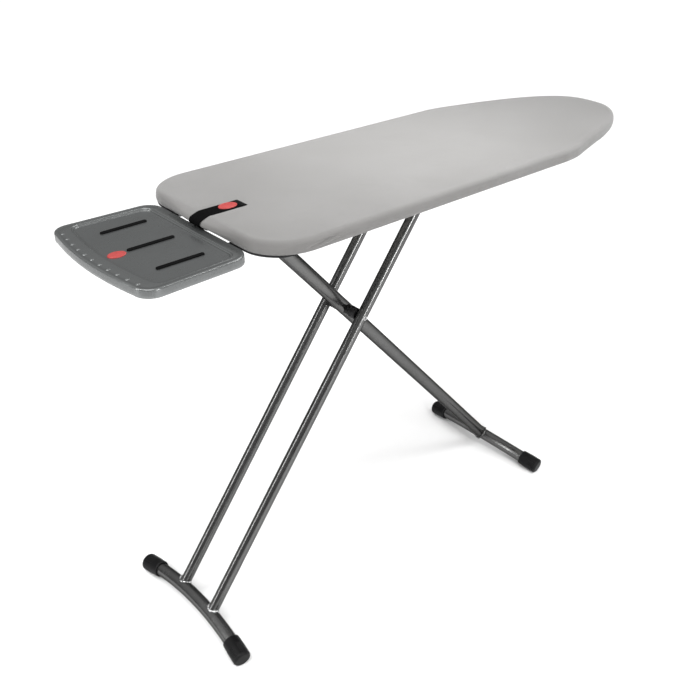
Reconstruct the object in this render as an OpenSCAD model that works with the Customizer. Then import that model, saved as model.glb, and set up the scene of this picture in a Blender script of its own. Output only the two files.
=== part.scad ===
// Folding ironing board with a pressed steel iron rest.
// Millimetres, +Z up, +X towards the pointed nose, Z = 0 is the floor.
// The origin is on the floor, under the middle of the whole outline.

/* [Board] */
// Length of the padded top, tail to nose
board_len = 1240; // [1180:10:1280]
// Width of the padded top
board_w = 450; // [420:5:470]
// Height of the ironing surface above the floor, legs fully open
board_h = 978; // [950:1:990]
// Where the taper to the nose starts, measured from the middle of the top
taper_start = 215; // [190:5:240]
// Diameter of the crossbar that slides in the rails
crossbar_d = 10; // [8:0.5:10]

/* [Iron rest] */
// How far the iron rest stands out past the tail of the board
rest_reach = 237; // [200:1:250]
// Width of the iron rest
rest_w = 350; // [320:5:380]
// How far the outer edge of the rest bows out in the middle
rest_bow = 20; // [10:1:28]
// Length of each silicone strip
strip_len = 98; // [70:1:110]
// Width of each silicone strip
strip_w = 8.5; // [5:0.5:12]

/* [Strap] */
// Width of the webbing strap over the tail
strap_w = 35; // [25:1:45]
// Length of strap that lies on the ironing surface
strap_on_top = 96; // [70:1:110]

/* [Legs] */
// Diameter of the single inner leg tube
inner_d = 33; // [28:0.5:34]
// Diameter of the two outer leg tubes
outer_d = 25; // [20:0.5:26]
// Distance between the two outer leg tubes, centre to centre
outer_gap = 117.8; // [112:0.2:120]
// Diameter of both foot tubes
foot_d = 32; // [28:0.5:33]
// Diameter of the foot caps
cap_d = 41.4; // [38:0.2:44]
// Length of each foot cap
cap_len = 53; // [45:1:65]
// Number of height settings cut in the rails
height_steps = 7; // [4:1:7]

/* [Hidden] */

// the middle of the padded top sits this far in +X from the origin
shift_x = rest_reach / 2;
xt = -board_len / 2;          // tail of the padded top
xn = board_len / 2;           // nose
hw = board_w / 2;
tail_rx = 100;                // tail corner, along X
tail_ry = 86;                 // tail corner, along Y
nose_p = 1.11;                // roundness of the taper
nose_q = 2.55;

// heights, all measured down from the ironing surface
z_top = board_h;
z_hem = z_top - 26.5;         // bottom of the cover
z_frame = z_top - 24.5;       // bottom of the perimeter frame
z_mesh = z_top - 10.5;        // top of the frame, underside of the mesh
z_cross = z_top - 23;         // underside of the cross members
sheet = 2.5;                  // bracket steel

// linkage
x_piv = -259;                 // scissor pivot
z_piv = z_top - 324;
x_foot_o = -732.4;            // foot of the outer leg
x_foot_i = 305.9;             // foot of the inner leg
z_foot = cap_d / 2 - 2.2;     // centre of the feet at their ends
z_hinge = z_top - 70;         // fixed hinge of the inner leg
bar_off = 27;                 // crossbar sits this far off the outer leg's line
al0 = atan2(z_piv - z_foot, x_piv - x_foot_o);
be0 = atan2(z_piv - z_foot, x_foot_i - x_piv);
len_o = (z_piv - z_foot) / sin(al0);
len_i = (z_piv - z_foot) / sin(be0);
up_i = (z_hinge - z_piv) / sin(be0);
up_o = ((z_hinge - z_piv) + bar_off * (1 - cos(al0))) / sin(al0);
x_hinge = x_piv - up_i * cos(be0);
fold_ratio = 2.103;
fold_max = 48;
function al_at(t) = al0 - (fold_ratio - 1) * t;
function be_at(t) = be0 - t;
// crossbar centre for a fold angle t
function bar_x(t) = x_hinge + up_i * cos(be_at(t)) + up_o * cos(al_at(t)) - bar_off * sin(al_at(t));
function bar_z(t) = z_hinge - up_i * sin(be_at(t)) + up_o * sin(al_at(t)) + bar_off * cos(al_at(t));
// fold angle at which the top stands d lower
function fold_for(d) = be0 - asin(sin(be0) - d / (up_i + len_i));
step_drop = 46;
sx0 = bar_x(0);
sx1 = bar_x(fold_max);
sz0 = bar_z(0);
slot_steps = 12;
function slot_at(i) = [bar_x(fold_max * i / slot_steps), bar_z(fold_max * i / slot_steps)];
function slot_dir(i) = let (a = slot_at(max(0, i - 1)), b = slot_at(min(slot_steps, i + 1))) (b - a) / norm(b - a);
function slot_side(i, s) = let (d = slot_dir(i)) slot_at(i) + s * slot_r * [-d[1], d[0]];
function slot_end(i, s) = let (d = slot_dir(i)) [for (a = [72:-18:-72]) slot_at(i) + slot_r * (s * cos(a) * d + s * sin(a) * [-d[1], d[0]])];
function slot_loop() = concat([for (i = [0:slot_steps]) slot_side(i, 1)], slot_end(slot_steps, 1),
  [for (i = [slot_steps:-1:0]) slot_side(i, -1)], slot_end(0, -1));
bar_r = crossbar_d / 2;
slot_r = bar_r + 1;
rail_y = 82;
rail_in = sx0 - 26;
rail_out = sx1 + 26;

// feet
foot_half = 200;              // half the span between the cap ends
foot_rise = 23.5;             // how far the foot tube arches up its leg
foot_r = (pow(foot_half, 2) + pow(foot_rise, 2)) / (2 * foot_rise);
function foot_ang(y) = asin(y / foot_r);
tube_wall = 1.5;
oy = outer_gap / 2;

// iron rest
rest_x1 = xt - 2;
rest_x0 = xt - rest_reach;
rest_hw = rest_w / 2;
z_rim = z_top - 25;
z_pan = z_top - 29.8;
rest_sheet = 1.2;
skirt = 17;

// release lever
lev_y = 128;
lev_z = z_top - 41;

// transport hook
hook_x = 455;
hook_y = 34;
hook_z = z_top - 33;

// ---------- outlines ----------
// the padded top, half of it, tail to nose
function top_half() = concat(
  [for (a = [0:10:90]) [xt + tail_rx * (1 - cos(a)), hw - tail_ry + tail_ry * sin(a)]],
  [for (f = [0:5:85]) [taper_start + (xn - taper_start) * pow(sin(f), 2 / nose_p), hw * pow(cos(f), 2 / nose_q)]]);
function top_loop() = let (h = top_half(), n = len(h)) concat(
  [for (i = [0:n - 1]) [h[i][0], -h[i][1]]],
  [[xn, 0]],
  [for (i = [n - 1:-1:0]) h[i]]);
// move each corner of a loop inwards
function inward(p, d) = let (n = len(p)) [for (i = [0:n - 1])
  let (a = p[(i + n - 1) % n], b = p[i], c = p[(i + 1) % n],
       u = (b - a) / norm(b - a), v = (c - b) / norm(c - b),
       m = [-(u[1] + v[1]), u[0] + v[0]], k = m / norm(m), g = k * [-u[1], u[0]])
  b + k * d / g];
// half width of the padded top at x
function half_at(x) = x < xt + tail_rx ? hw - tail_ry + tail_ry * sqrt(max(0, 1 - pow((xt + tail_rx - x) / tail_rx, 2)))
  : x < taper_start ? hw
  : hw * pow(max(0, 1 - pow((x - taper_start) / (xn - taper_start), nose_p)), 1 / nose_q);
module slab(d, z0, z1) { translate([0, 0, z0]) linear_extrude(z1 - z0) polygon(inward(top_loop(), d)); }

// the rest's outline d inside its edge, from its inner edge round the bowed outer edge
rest_c = 30;
function bow_x(y) = rest_x0 + rest_bow * pow(y / rest_hw, 2);
function rest_loop(d, x1) = let (w = rest_hw - d, c = rest_c - d * 0.5, ci = 36 - d * 0.8, wi = w - 6, xc = bow_x(w - c) + d + c) concat(
  [for (i = [6:-1:0]) let (a = 15 * i) [x1 - d - ci + ci * sin(a), -wi + ci - ci * cos(a)]],
  [for (i = [[0, 4], [1, 4], [2, 4], [3, 4], [4, 4]]) let (a = 90 * i[0] / i[1]) [xc - c * sin(a), -(w - c) - c * cos(a)]],
  [for (y = [-4:1:4]) [bow_x((w - c) * y / 5) + d, (w - c) * y / 5]],
  [for (i = [4:-1:0]) let (a = 90 * i / 4) [xc - c * sin(a), (w - c) + c * cos(a)]],
  [for (i = [0:6]) let (a = 15 * i) [x1 - d - ci + ci * sin(a), wi - ci + ci * cos(a)]]);
module tray_slab(d, x1, z0, z1) { translate([0, 0, z0]) linear_extrude(z1 - z0) polygon(rest_loop(d, x1)); }

// ---------- frames ----------
module at_board() { translate([shift_x, 0, 0]) children(); }
// local X runs up the leg from the pivot
module at_outer() { translate([shift_x + x_piv, 0, z_piv]) rotate([0, -al0, 0]) children(); }
module at_inner() { translate([shift_x + x_piv, 0, z_piv]) rotate([0, be0 - 180, 0]) children(); }
module ycyl(r, y0, y1) { translate([0, y0, 0]) rotate([-90, 0, 0]) cylinder(r = r, h = y1 - y0, $fn = 48); }
module xcyl(r, x0, x1) { translate([x0, 0, 0]) rotate([0, 90, 0]) cylinder(r = r, h = x1 - x0, $fn = 48); }
module box(x0, x1, y0, y1, z0, z1) { translate([x0, y0, z0]) cube([x1 - x0, y1 - y0, z1 - z0]); }

// a piece of the arched foot tube, L = leg length from the pivot
module foot_arc(L, r, y0, y1) {
  translate([-L + foot_rise - foot_r, 0, 0]) rotate([0, 0, foot_ang(y0)])
    rotate_extrude(angle = foot_ang(y1) - foot_ang(y0), $fn = 96) translate([foot_r, 0]) circle(r = r, $fn = 48);
}
function foot_pt(L, y) = [-L + foot_rise - foot_r + foot_r * cos(foot_ang(y)), y, 0];

// ---------- padded top ----------
module cover() {
  color("silver") at_board() difference() {
    union() { slab(0, z_top - 9, z_top - 4); slab(3.5, z_top - 4, z_top); }
    slab(5.5, z_top - 10, z_top - 1.5);
  }
}
module cover_hem() {
  color("silver") at_board() difference() {
    slab(0, z_hem, z_top - 9);
    slab(5.5, z_hem + 1.5, z_top - 8);
    slab(30, z_hem - 1, z_hem + 2);
  }
}
module padding() { color("gainsboro") at_board() slab(6, z_mesh + 1.2, z_top - 1.8); }
module mesh_top() {
  color("gray") at_board() difference() {
    slab(7, z_mesh - 0, z_mesh + 1);
    for (i = [-5:1:5], j = [-3:1:3]) diamond(100 * i, 60 * j);
    for (i = [-6:1:5], j = [-3:1:2]) diamond(100 * i + 50, 60 * j + 30);
  }
}
module diamond(x, y) {
  if (abs(y) + 16 + 24 < min(half_at(x - 30), half_at(x + 30)) && x - 30 > xt + 24)
    translate([x, y, z_mesh - 1]) linear_extrude(3) polygon([[-30, 0], [0, -16], [30, 0], [0, 16]]);
}
module board_frame() {
  color("dimgray") at_board() difference() { slab(6.5, z_frame, z_mesh); slab(19.5, z_frame - 1, z_mesh + 1); }
}
// a pressed channel, open upwards, between the sides of the frame
module cross_channel(x, gap = 20.5) {
  w = min(half_at(x - 12), half_at(x + 12)) - gap;
  difference() {
    box(x - 12, x + 12, -w, w, z_cross, z_mesh);
    box(x - 10.5, x + 10.5, -w - 1, w + 1, z_cross + 1.5, z_mesh + 1);
  }
}
x_tail = xt + 55;
x_rail_a = rail_in + 14;
x_rail_b = rail_out - 14;
module cross_member_tail() {
  color("dimgray") at_board() difference() {
    cross_channel(x_tail, 26);
    for (y = [-100, 100], s = [-8, 8]) translate([x_tail, y + s, z_cross - 1]) cylinder(r = 2.05, h = 4, $fn = 32);
  }
}
module cross_member_hinge() { color("dimgray") at_board() cross_channel(x_hinge); }
module cross_member_rail_a() { color("dimgray") at_board() rail_cross(x_rail_a); }
module cross_member_rail_b() { color("dimgray") at_board() rail_cross(x_rail_b); }
module rail_cross(x) {
  difference() {
    cross_channel(x);
    for (s = [-1, 1]) translate([x, s * (rail_y + 12), z_cross - 1]) cylinder(r = 2.05, h = 4, $fn = 32);
  }
}
module cross_member_nose() { color("dimgray") at_board() cross_channel(hook_x, 23); }

// one slotted rail, its web at y0..y0+sheet, flange on the outer side
module rail() {
  difference() {
    union() {
      box(rail_in, rail_out, rail_y, rail_y + sheet, sz0 - 16, z_cross);
      box(rail_in, rail_out, rail_y, rail_y + 22, z_cross - sheet, z_cross);
    }
    // the arched slot follows the crossbar
    translate([0, rail_y + 4, 0]) rotate([90, 0, 0]) linear_extrude(5) polygon(slot_loop());
    // one seat for each height setting
    for (i = [0:height_steps - 1]) {
      t = fold_for(i * step_drop);
      translate([bar_x(t), 0, bar_z(t) + 3]) ycyl(bar_r + 0.4, rail_y - 1, rail_y + 4);
      translate([bar_x(t), 0, bar_z(t)]) box(-bar_r - 0.4, bar_r + 0.4, rail_y - 1, rail_y + 4, 0, 3);
    }
    for (x = [x_rail_a, x_rail_b]) translate([x, rail_y + 12, z_cross - 5]) cylinder(r = 2.05, h = 7, $fn = 32);
  }
}
module height_rail_rear() { color("lightgray") at_board() rail(); }
module height_rail_front() { color("lightgray") at_board() mirror([0, 1, 0]) rail(); }
module rail_rivets() {
  color("silver") at_board() for (x = [x_rail_a, x_rail_b], s = [-1, 1]) translate([x, s * (rail_y + 12), 0]) {
    translate([0, 0, z_cross - sheet - 1.5]) cylinder(r = 3.6, h = 1.5, $fn = 32);
    translate([0, 0, z_cross - sheet - 0.5]) cylinder(r = 2, h = sheet + 3, $fn = 32);
    translate([0, 0, z_cross + 1.5]) cylinder(r = 3.4, h = 1, $fn = 32);
  }
}
module hinge_bracket() {
  color("lightgray") at_board() difference() {
    union() {
      box(x_hinge - 13, x_hinge + 13, -44, 44, z_cross - sheet, z_cross);
      for (s = [-1, 1]) scale([1, s, 1]) {
        box(x_hinge - 13, x_hinge + 13, 19, 21.5, z_hinge, z_cross - 1);
        translate([x_hinge, 0, z_hinge]) ycyl(13, 19, 21.5);
      }
    }
    translate([x_hinge, 0, z_hinge]) ycyl(4.05, -30, 30);
  }
}
module hinge_pin() {
  color("silver") at_board() translate([x_hinge, 0, z_hinge]) {
    ycyl(4, -22, 22);
    ycyl(6.5, -24, -21.5);
    ycyl(6.5, 21.5, 24);
  }
}

// ---------- strap over the tail ----------
module tension_strap() {
  color("black") at_board() {
    box(xt - 1.2, xt + strap_on_top, -strap_w / 2, strap_w / 2, z_top, z_top + 1.2);
    box(xt - 1.2, xt - 0.1, -strap_w / 2, strap_w / 2, z_hem - 1.4, z_top + 0.6);
    box(xt - 1.2, xt + 34, -strap_w / 2, strap_w / 2, z_hem - 1.4, z_hem - 0.2);
  }
}
module oval(rx, ry, h) { scale([1, ry / rx, 1]) cylinder(r = rx, h = h, $fn = 64); }
module strap_badge() { color("red") at_board() translate([xt + 63, 0, z_top + 1.2]) oval(20, 14, 1.8); }
module strap_hook() {
  color("black") at_board() difference() {
    box(xt + 30, xt + 44, -22, 22, z_hem - 4.5, z_cross);
    box(xt + 29, xt + 36, -strap_w / 2 - 0.5, strap_w / 2 + 0.5, z_hem - 2, z_hem + 0.5);
    box(xt + 40, xt + 45, -23, 23, z_hem - 1.5, z_cross - 0);
    box(xt + 29, xt + 32.5, -23, 23, z_hem + 0.5, z_cross + 1);
  }
}
// dark edging under the tail of the cover, split where the strap passes
module tail_trim() {
  color("black") at_board() intersection() {
    difference() { slab(1.5, z_hem - 4.2, z_hem - 0.1); slab(9, z_hem - 5, z_hem + 1); }
    union() for (s = [-1, 1]) scale([1, s, 1]) box(xt - 1, xt + 62, 92, 240, z_hem - 6, z_hem + 1);
  }
}

// ---------- iron rest ----------
module rest_tray() {
  color("slategray") at_board() difference() {
    union() {
      difference() {
        tray_slab(0, rest_x1, z_rim - skirt, z_rim);
        difference() {
          tray_slab(rest_sheet, rest_x1, z_rim - skirt - 1, z_rim - rest_sheet);
          pan_slab(-rest_sheet, z_pan - rest_sheet, z_rim);
        }
      }
      for (i = [-5:1:5]) translate([bow_x(27.4 * i) + 13, 27.4 * i, z_rim - 0.2]) cylinder(r1 = 4, r2 = 2, h = 1.3, $fn = 32);
    }
    // the support arms pass under the inner skirt
    for (y = [-100, 100]) box(rest_x1 - 4, rest_x1 + 1, y - 15.5, y + 15.5, z_rim - skirt - 1, z_pan - rest_sheet + 0.3);
    pan_slab(0, z_pan, z_rim + 3);
  }
}
// the sunk pan, its outer side bowed like the rim
module pan_slab(d, z0, z1) {
  w = rest_hw - 20 - d;
  c = 18;
  x1 = rest_x1 - 26 - d;
  wi = w - 5;
  x0 = rest_x0 + 36 + d;
  xc = x0 + rest_bow * pow((w - c) / rest_hw, 2) + c;
  translate([0, 0, z0]) linear_extrude(z1 - z0) polygon(concat(
    [for (i = [0:3]) let (a = 30 * i) [x1 - c + c * cos(90 - a), -wi + c - c * sin(90 - a)]],
    [for (i = [0:3]) let (a = 30 * i) [x1 - c + c * cos(a), wi - c + c * sin(a)]],
    [for (i = [0:3]) let (a = 30 * i) [xc - c * sin(a), w - c + c * cos(a)]],
    [for (y = [4:-1:-4]) [x0 + rest_bow * pow((w - c) * y / 5 / rest_hw, 2), (w - c) * y / 5]],
    [for (i = [0:3]) let (a = 30 * i) [xc - c * cos(a), -(w - c) - c * sin(a)]]));
}
module strip(y) {
  x0 = rest_x0 + 81;
  translate([0, y, z_pan]) {
    box(x0 + strip_w / 2, x0 + strip_len - strip_w / 2, -strip_w / 2, strip_w / 2, 0, 3.2);
    for (x = [x0 + strip_w / 2, x0 + strip_len - strip_w / 2]) translate([x, 0, 0]) cylinder(r = strip_w / 2, h = 3.2, $fn = 32);
  }
}
module rest_strip_front() { color("black") at_board() strip(-100); }
module rest_strip_middle() { color("black") at_board() strip(0); }
module rest_strip_rear() { color("black") at_board() strip(100); }
module rest_badge() { color("red") at_board() translate([rest_x0 + 59, -3, z_pan]) oval(18, 13, 1.8); }
// a flat steel arm under the pan, joggled up to the tail cross member
module support(y) {
  z0 = z_pan - rest_sheet - 3;
  xs = x_tail - 20;
  difference() {
    union() {
      box(rest_x0 + 70, xs + 3, y - 15, y + 15, z0, z0 + 3);
      box(xs, xs + 3, y - 15, y + 15, z0, z_cross);
      box(xs, x_tail + 12, y - 15, y + 15, z_cross - 3, z_cross);
    }
    for (s = [-8, 8]) translate([x_tail, y + s, z_cross - 4]) cylinder(r = 2.05, h = 5, $fn = 32);
  }
}
module rest_support_front() { color("dimgray") at_board() support(-100); }
module rest_support_rear() { color("dimgray") at_board() support(100); }
module rest_screws() {
  color("silver") at_board() for (y = [-100, 100], s = [-8, 8]) translate([x_tail, y + s, 0]) {
    translate([0, 0, z_cross - 5]) cylinder(r = 3.6, h = 2, $fn = 32);
    translate([0, 0, z_cross - 4]) cylinder(r = 2, h = 9, $fn = 32);
  }
}

// ---------- release lever ----------
lev_x0 = rail_in + 6;
lev_x1 = rail_out - 6;
module lever_brackets() {
  color("lightgray") at_board() for (x = [x_rail_a, x_rail_b]) difference() {
    union() {
      box(x - 1.5, x + 1.5, lev_y - 8, lev_y + 8, lev_z, z_cross);
      translate([x, lev_y, lev_z]) xcyl(8, -1.5, 1.5);
      box(x - 10, x + 10, lev_y - 8, lev_y + 8, z_cross - sheet, z_cross);
    }
    translate([x, lev_y, lev_z]) xcyl(3.06, -3, 3);
  }
}
module lever_arm(x, pts) { translate([x - 1.5, 0, 0]) rotate([90, 0, 90]) linear_extrude(3) polygon(pts); }
module release_lever() {
  zb = sz0 - 11;
  color("silver") at_board() difference() {
    union() {
      translate([0, lev_y, lev_z]) xcyl(3, lev_x0, lev_x1);
      box(lev_x0 + 10, lev_x1 - 10, 89, 99, zb - 3, zb);
      for (x = [-50, 50, 150]) lever_arm(x, [[90, zb - 3], [99, zb - 3], [lev_y + 3, lev_z - 4], [lev_y + 4, lev_z + 3], [lev_y - 4, lev_z + 3], [97, zb], [90, zb]]);
      for (x = [0, 100]) lever_arm(x, [[lev_y - 4, lev_z - 4], [190, lev_z - 9], [190, lev_z - 4], [lev_y + 4, lev_z + 4], [lev_y - 4, lev_z + 4]]);
      translate([0, 188, lev_z - 6]) xcyl(2.5, -1, 101);
    }
  }
}
module release_grip() {
  color("black") at_board() difference() {
    translate([0, 188, lev_z - 6]) xcyl(7, 2, 98);
    translate([0, 188, lev_z - 6]) xcyl(2.52, 1, 99);
  }
}
module lever_spring() {
  color("silver") at_board() for (i = [0:5]) translate([x_rail_a + 6 + 1.5 * i, lev_y, lev_z]) rotate([0, 90, 0])
    rotate_extrude($fn = 48) translate([4.4, 0]) circle(r = 0.6, $fn = 16);
}

// ---------- transport hook ----------
module hook_bracket() {
  color("lightgray") at_board() difference() {
    union() {
      box(hook_x - 12, hook_x + 12, hook_y - 8, hook_y + 8, z_cross - sheet, z_cross);
      for (s = [-1, 1]) translate([hook_x + s * 10, hook_y, 0]) {
        box(-1.25, 1.25, -6, 6, hook_z, z_cross - 1);
        translate([0, 0, hook_z]) xcyl(6, -1.25, 1.25);
      }
    }
    translate([hook_x, hook_y, hook_z]) xcyl(2.55, -15, 15);
  }
}
module hook_pin() {
  color("silver") at_board() translate([hook_x, hook_y, hook_z]) {
    xcyl(2.5, -12, 12);
    xcyl(4, -13, -11.25);
    xcyl(4, 11.25, 13);
  }
}
module transport_hook() {
  color("black") at_board() translate([hook_x, hook_y, hook_z]) difference() {
    union() {
      xcyl(5.5, -7.5, 7.5);
      box(-7.5, 7.5, 0, 66, -3.5, 3.5);
      box(-7.5, 7.5, 64, 70.5, -44, 3.5);
      box(-7.5, 7.5, 60.4, 64.1, -44, -38);
    }
    xcyl(2.55, -10, 10);
  }
}

// ---------- inner leg ----------
module inner_leg_tube() {
  color("gray") at_inner() difference() {
    xcyl(inner_d / 2, -len_i + foot_rise, up_i + 16);
    xcyl(inner_d / 2 - 1.6, -len_i + foot_rise - 1, up_i + 17);
    foot_arc(len_i, foot_d / 2, -40, 40);
    ycyl(4.06, -30, 30);
    translate([up_i, 0, 0]) ycyl(4.06, -30, 30);
  }
}
module foot_tube(L) { difference() { foot_arc(L, foot_d / 2, -192, 192); foot_arc(L, foot_d / 2 - tube_wall, -193, 193); } }
// a moulded cap, turned about the foot tube's own line
module foot_cap(L) {
  rc = cap_d / 2;
  ym = 171;
  h = 32;
  back = cap_len - 29;
  translate(foot_pt(L, ym)) rotate([0, 0, foot_ang(ym)]) rotate([-90, 0, 0]) difference() {
    rotate_extrude($fn = 96) {
      translate([0, -back]) square([rc, h + back - 9]);
      translate([0, 0]) square([rc - 9, h]);
      translate([rc - 9, h - 9]) circle(r = 9, $fn = 48);
    }
    translate([0, 0, -back - 1]) cylinder(r = foot_d / 2 + 0.6, h = back + 23, $fn = 64);
  }
}
// everything above the floor
module above_floor() { intersection() { children(); translate([-1200, -400, 0]) cube([2400, 800, 200]); } }
module inner_foot_tube() { color("gray") at_inner() foot_tube(len_i); }
module inner_cap_rear() { color("black") above_floor() at_inner() foot_cap(len_i); }
module inner_cap_front() { color("black") above_floor() at_inner() mirror([0, 1, 0]) foot_cap(len_i); }
module inner_leg_plug() {
  color("black") at_inner() {
    xcyl(inner_d / 2, up_i + 16, up_i + 18.5);
    xcyl(inner_d / 2 - 1.65, up_i + 7, up_i + 17);
  }
}
module weld_ring(L, y, r) {
  difference() {
    intersection() {
      translate([0, y, 0]) xcyl(r + 2.2, -L, -L + foot_rise + 30);
      foot_arc(L, foot_d / 2 + 2.4, y - 40, y + 40);
    }
    translate([0, y, 0]) xcyl(r, -L - 1, -L + foot_rise + 31);
    foot_arc(L, foot_d / 2, y - 41, y + 41);
    translate([-L - 40, y - 30, -30]) cube([40 + foot_rise * (1 - pow(y / foot_half, 2)), 60, 60]);
  }
}
module inner_foot_weld() { color("silver") at_inner() weld_ring(len_i, 0, inner_d / 2); }
module pivot_spacers() {
  color("black") at_inner() for (s = [-1, 1]) scale([1, s, 1]) difference() {
    ycyl(13.5, 5, oy - outer_d / 2 - 0.3);
    xcyl(inner_d / 2, -30, 30);
    ycyl(4.06, 0, 60);
  }
}

// ---------- outer leg ----------
module outer_tube(y) {
  difference() {
    translate([0, y, 0]) xcyl(outer_d / 2, -len_o + foot_rise * (1 - pow(y / foot_half, 2)), up_o + 12);
    translate([0, y, 0]) xcyl(outer_d / 2 - tube_wall, -len_o, up_o + 13);
    foot_arc(len_o, foot_d / 2, y - 30, y + 30);
    ycyl(4.05, -90, 90);
    for (s = [-1, 1]) scale([1, s, 1]) ycyl(5.55, oy + outer_d / 2 - 1.6, 90);
  }
}
module outer_leg_tube_front() { color("gray") at_outer() outer_tube(-oy); }
module outer_leg_tube_rear() { color("gray") at_outer() outer_tube(oy); }
module outer_foot_tube() { color("gray") at_outer() foot_tube(len_o); }
module outer_cap_rear() { color("black") above_floor() at_outer() foot_cap(len_o); }
module outer_cap_front() { color("black") above_floor() at_outer() mirror([0, 1, 0]) foot_cap(len_o); }
module outer_leg_plugs() {
  color("black") at_outer() for (s = [-1, 1]) translate([0, s * oy, 0]) {
    xcyl(outer_d / 2, up_o + 12, up_o + 14.5);
    xcyl(outer_d / 2 - 1.55, up_o + 4, up_o + 13);
  }
}
module outer_foot_welds() { color("silver") at_outer() for (s = [-1, 1]) weld_ring(len_o, s * oy, outer_d / 2); }
module crossbar_lugs() {
  color("silver") at_outer() for (s = [-1, 1]) translate([0, s * oy, 0]) difference() {
    union() {
      translate([up_o, 0, bar_off]) ycyl(9, -3, 3);
      box(up_o - 15, up_o + 9, -3, 3, 6, bar_off - 2);
      box(up_o - 9, up_o + 9, -3, 3, bar_off - 3, bar_off);
    }
    xcyl(outer_d / 2, 0, up_o + 30);
    translate([up_o, 0, bar_off]) ycyl(bar_r + 0.05, -5, 5);
  }
}
module crossbar() { color("silver") at_outer() translate([up_o, 0, bar_off]) ycyl(bar_r, -98, 98); }
module crossbar_caps() {
  color("black") at_outer() translate([up_o, 0, bar_off]) for (s = [-1, 1]) scale([1, s, 1]) difference() {
    ycyl(7, rail_y + 4, 100.5);
    ycyl(bar_r + 0.02, rail_y + 3, 98.1);
  }
}
// a tubular rivet through all four tube walls
module pivot_rivet() {
  color("silver") at_outer() difference() {
    union() {
      ycyl(4, -oy - outer_d / 2 + 1, oy + outer_d / 2 - 1);
      for (s = [-1, 1]) scale([1, s, 1]) ycyl(5.5, oy + outer_d / 2 - 1.5, oy + outer_d / 2 + 0.8);
    }
    for (s = [-1, 1]) scale([1, s, 1]) ycyl(2.8, oy + outer_d / 2 - 8, oy + outer_d / 2 + 2);
  }
}

cover();
cover_hem();
padding();
mesh_top();
board_frame();
cross_member_tail();
cross_member_hinge();
cross_member_rail_a();
cross_member_rail_b();
cross_member_nose();
height_rail_front();
height_rail_rear();
rail_rivets();
hinge_bracket();
hinge_pin();
tension_strap();
strap_badge();
strap_hook();
tail_trim();
rest_tray();
rest_strip_front();
rest_strip_middle();
rest_strip_rear();
rest_badge();
rest_support_front();
rest_support_rear();
rest_screws();
lever_brackets();
lever_spring();
release_lever();
release_grip();
hook_bracket();
hook_pin();
transport_hook();
inner_leg_tube();
inner_foot_tube();
inner_cap_front();
inner_cap_rear();
inner_leg_plug();
inner_foot_weld();
pivot_spacers();
outer_leg_tube_front();
outer_leg_tube_rear();
outer_foot_tube();
outer_cap_front();
outer_cap_rear();
outer_leg_plugs();
outer_foot_welds();
crossbar_lugs();
crossbar();
crossbar_caps();
pivot_rivet();
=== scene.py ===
import bpy, bmesh, math, random
from mathutils import Vector, Matrix, noise
from math import sin, cos, tan, asin, pi, radians, sqrt, atan2, hypot


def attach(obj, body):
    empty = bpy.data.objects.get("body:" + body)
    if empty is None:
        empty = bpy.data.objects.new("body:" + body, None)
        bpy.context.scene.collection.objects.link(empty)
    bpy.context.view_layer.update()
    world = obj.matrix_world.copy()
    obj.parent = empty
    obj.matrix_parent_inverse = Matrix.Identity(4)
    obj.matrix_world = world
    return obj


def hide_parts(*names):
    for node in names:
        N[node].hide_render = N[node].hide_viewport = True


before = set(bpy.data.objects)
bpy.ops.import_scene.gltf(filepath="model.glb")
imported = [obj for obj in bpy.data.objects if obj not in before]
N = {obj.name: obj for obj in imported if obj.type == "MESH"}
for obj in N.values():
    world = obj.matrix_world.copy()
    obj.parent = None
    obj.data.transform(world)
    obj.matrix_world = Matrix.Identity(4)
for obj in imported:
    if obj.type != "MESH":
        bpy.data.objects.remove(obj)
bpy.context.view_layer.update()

random.seed(7)

# ------------------------------------------------------------------ sizes (metres, row frame)
L, W = 1.240, 0.450
REACH = 0.237
SH = REACH / 2                       # board centre is this far in +X of the origin
ZT = 0.978                           # ironing surface
XT, XN, HW = -L / 2 + SH, L / 2 + SH, W / 2
TAPER = 0.215 + SH
NP, NQ = 1.11, 2.55
TRX, TRY = 0.100, 0.086
Z_HEM = ZT - 0.0265
Z_MESH = ZT - 0.0105


# ------------------------------------------------------------------ mesh helpers
def new_obj(name, verts, faces, smooth=True):
    me = bpy.data.meshes.new(name)
    me.from_pydata([tuple(v) for v in verts], [], faces)
    me.validate()
    ob = bpy.data.objects.new(name, me)
    bpy.context.scene.collection.objects.link(ob)
    bm = bmesh.new(); bm.from_mesh(me)
    bmesh.ops.recalc_face_normals(bm, faces=bm.faces)
    bm.to_mesh(me); bm.free()
    if smooth:
        me.polygons.foreach_set("use_smooth", [True] * len(me.polygons))
    return ob


def bm_obj(name, bm, smooth=True):
    me = bpy.data.meshes.new(name)
    bmesh.ops.recalc_face_normals(bm, faces=bm.faces)
    bm.to_mesh(me); bm.free()
    ob = bpy.data.objects.new(name, me)
    bpy.context.scene.collection.objects.link(ob)
    if smooth:
        me.polygons.foreach_set("use_smooth", [True] * len(me.polygons))
    return ob


def apply_mods(ob):
    dg = bpy.context.evaluated_depsgraph_get()
    ev = ob.evaluated_get(dg)
    me = bpy.data.meshes.new_from_object(ev)
    ob.modifiers.clear()
    old = ob.data
    ob.data = me
    bpy.data.meshes.remove(old)
    return ob


def subsurf(ob, lv=1):
    m = ob.modifiers.new("s", "SUBSURF"); m.levels = lv; m.render_levels = lv
    return ob


def edge_smooth(ob, angle=35):
    """smooth shading, with edges over the angle kept sharp in the mesh"""
    me = ob.data
    bm = bmesh.new(); bm.from_mesh(me)
    for f in bm.faces: f.smooth = True
    for e in bm.edges:
        e.smooth = not (len(e.link_faces) == 2 and e.calc_face_angle(0) > radians(angle))
    bm.to_mesh(me); bm.free()
    return ob


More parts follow.
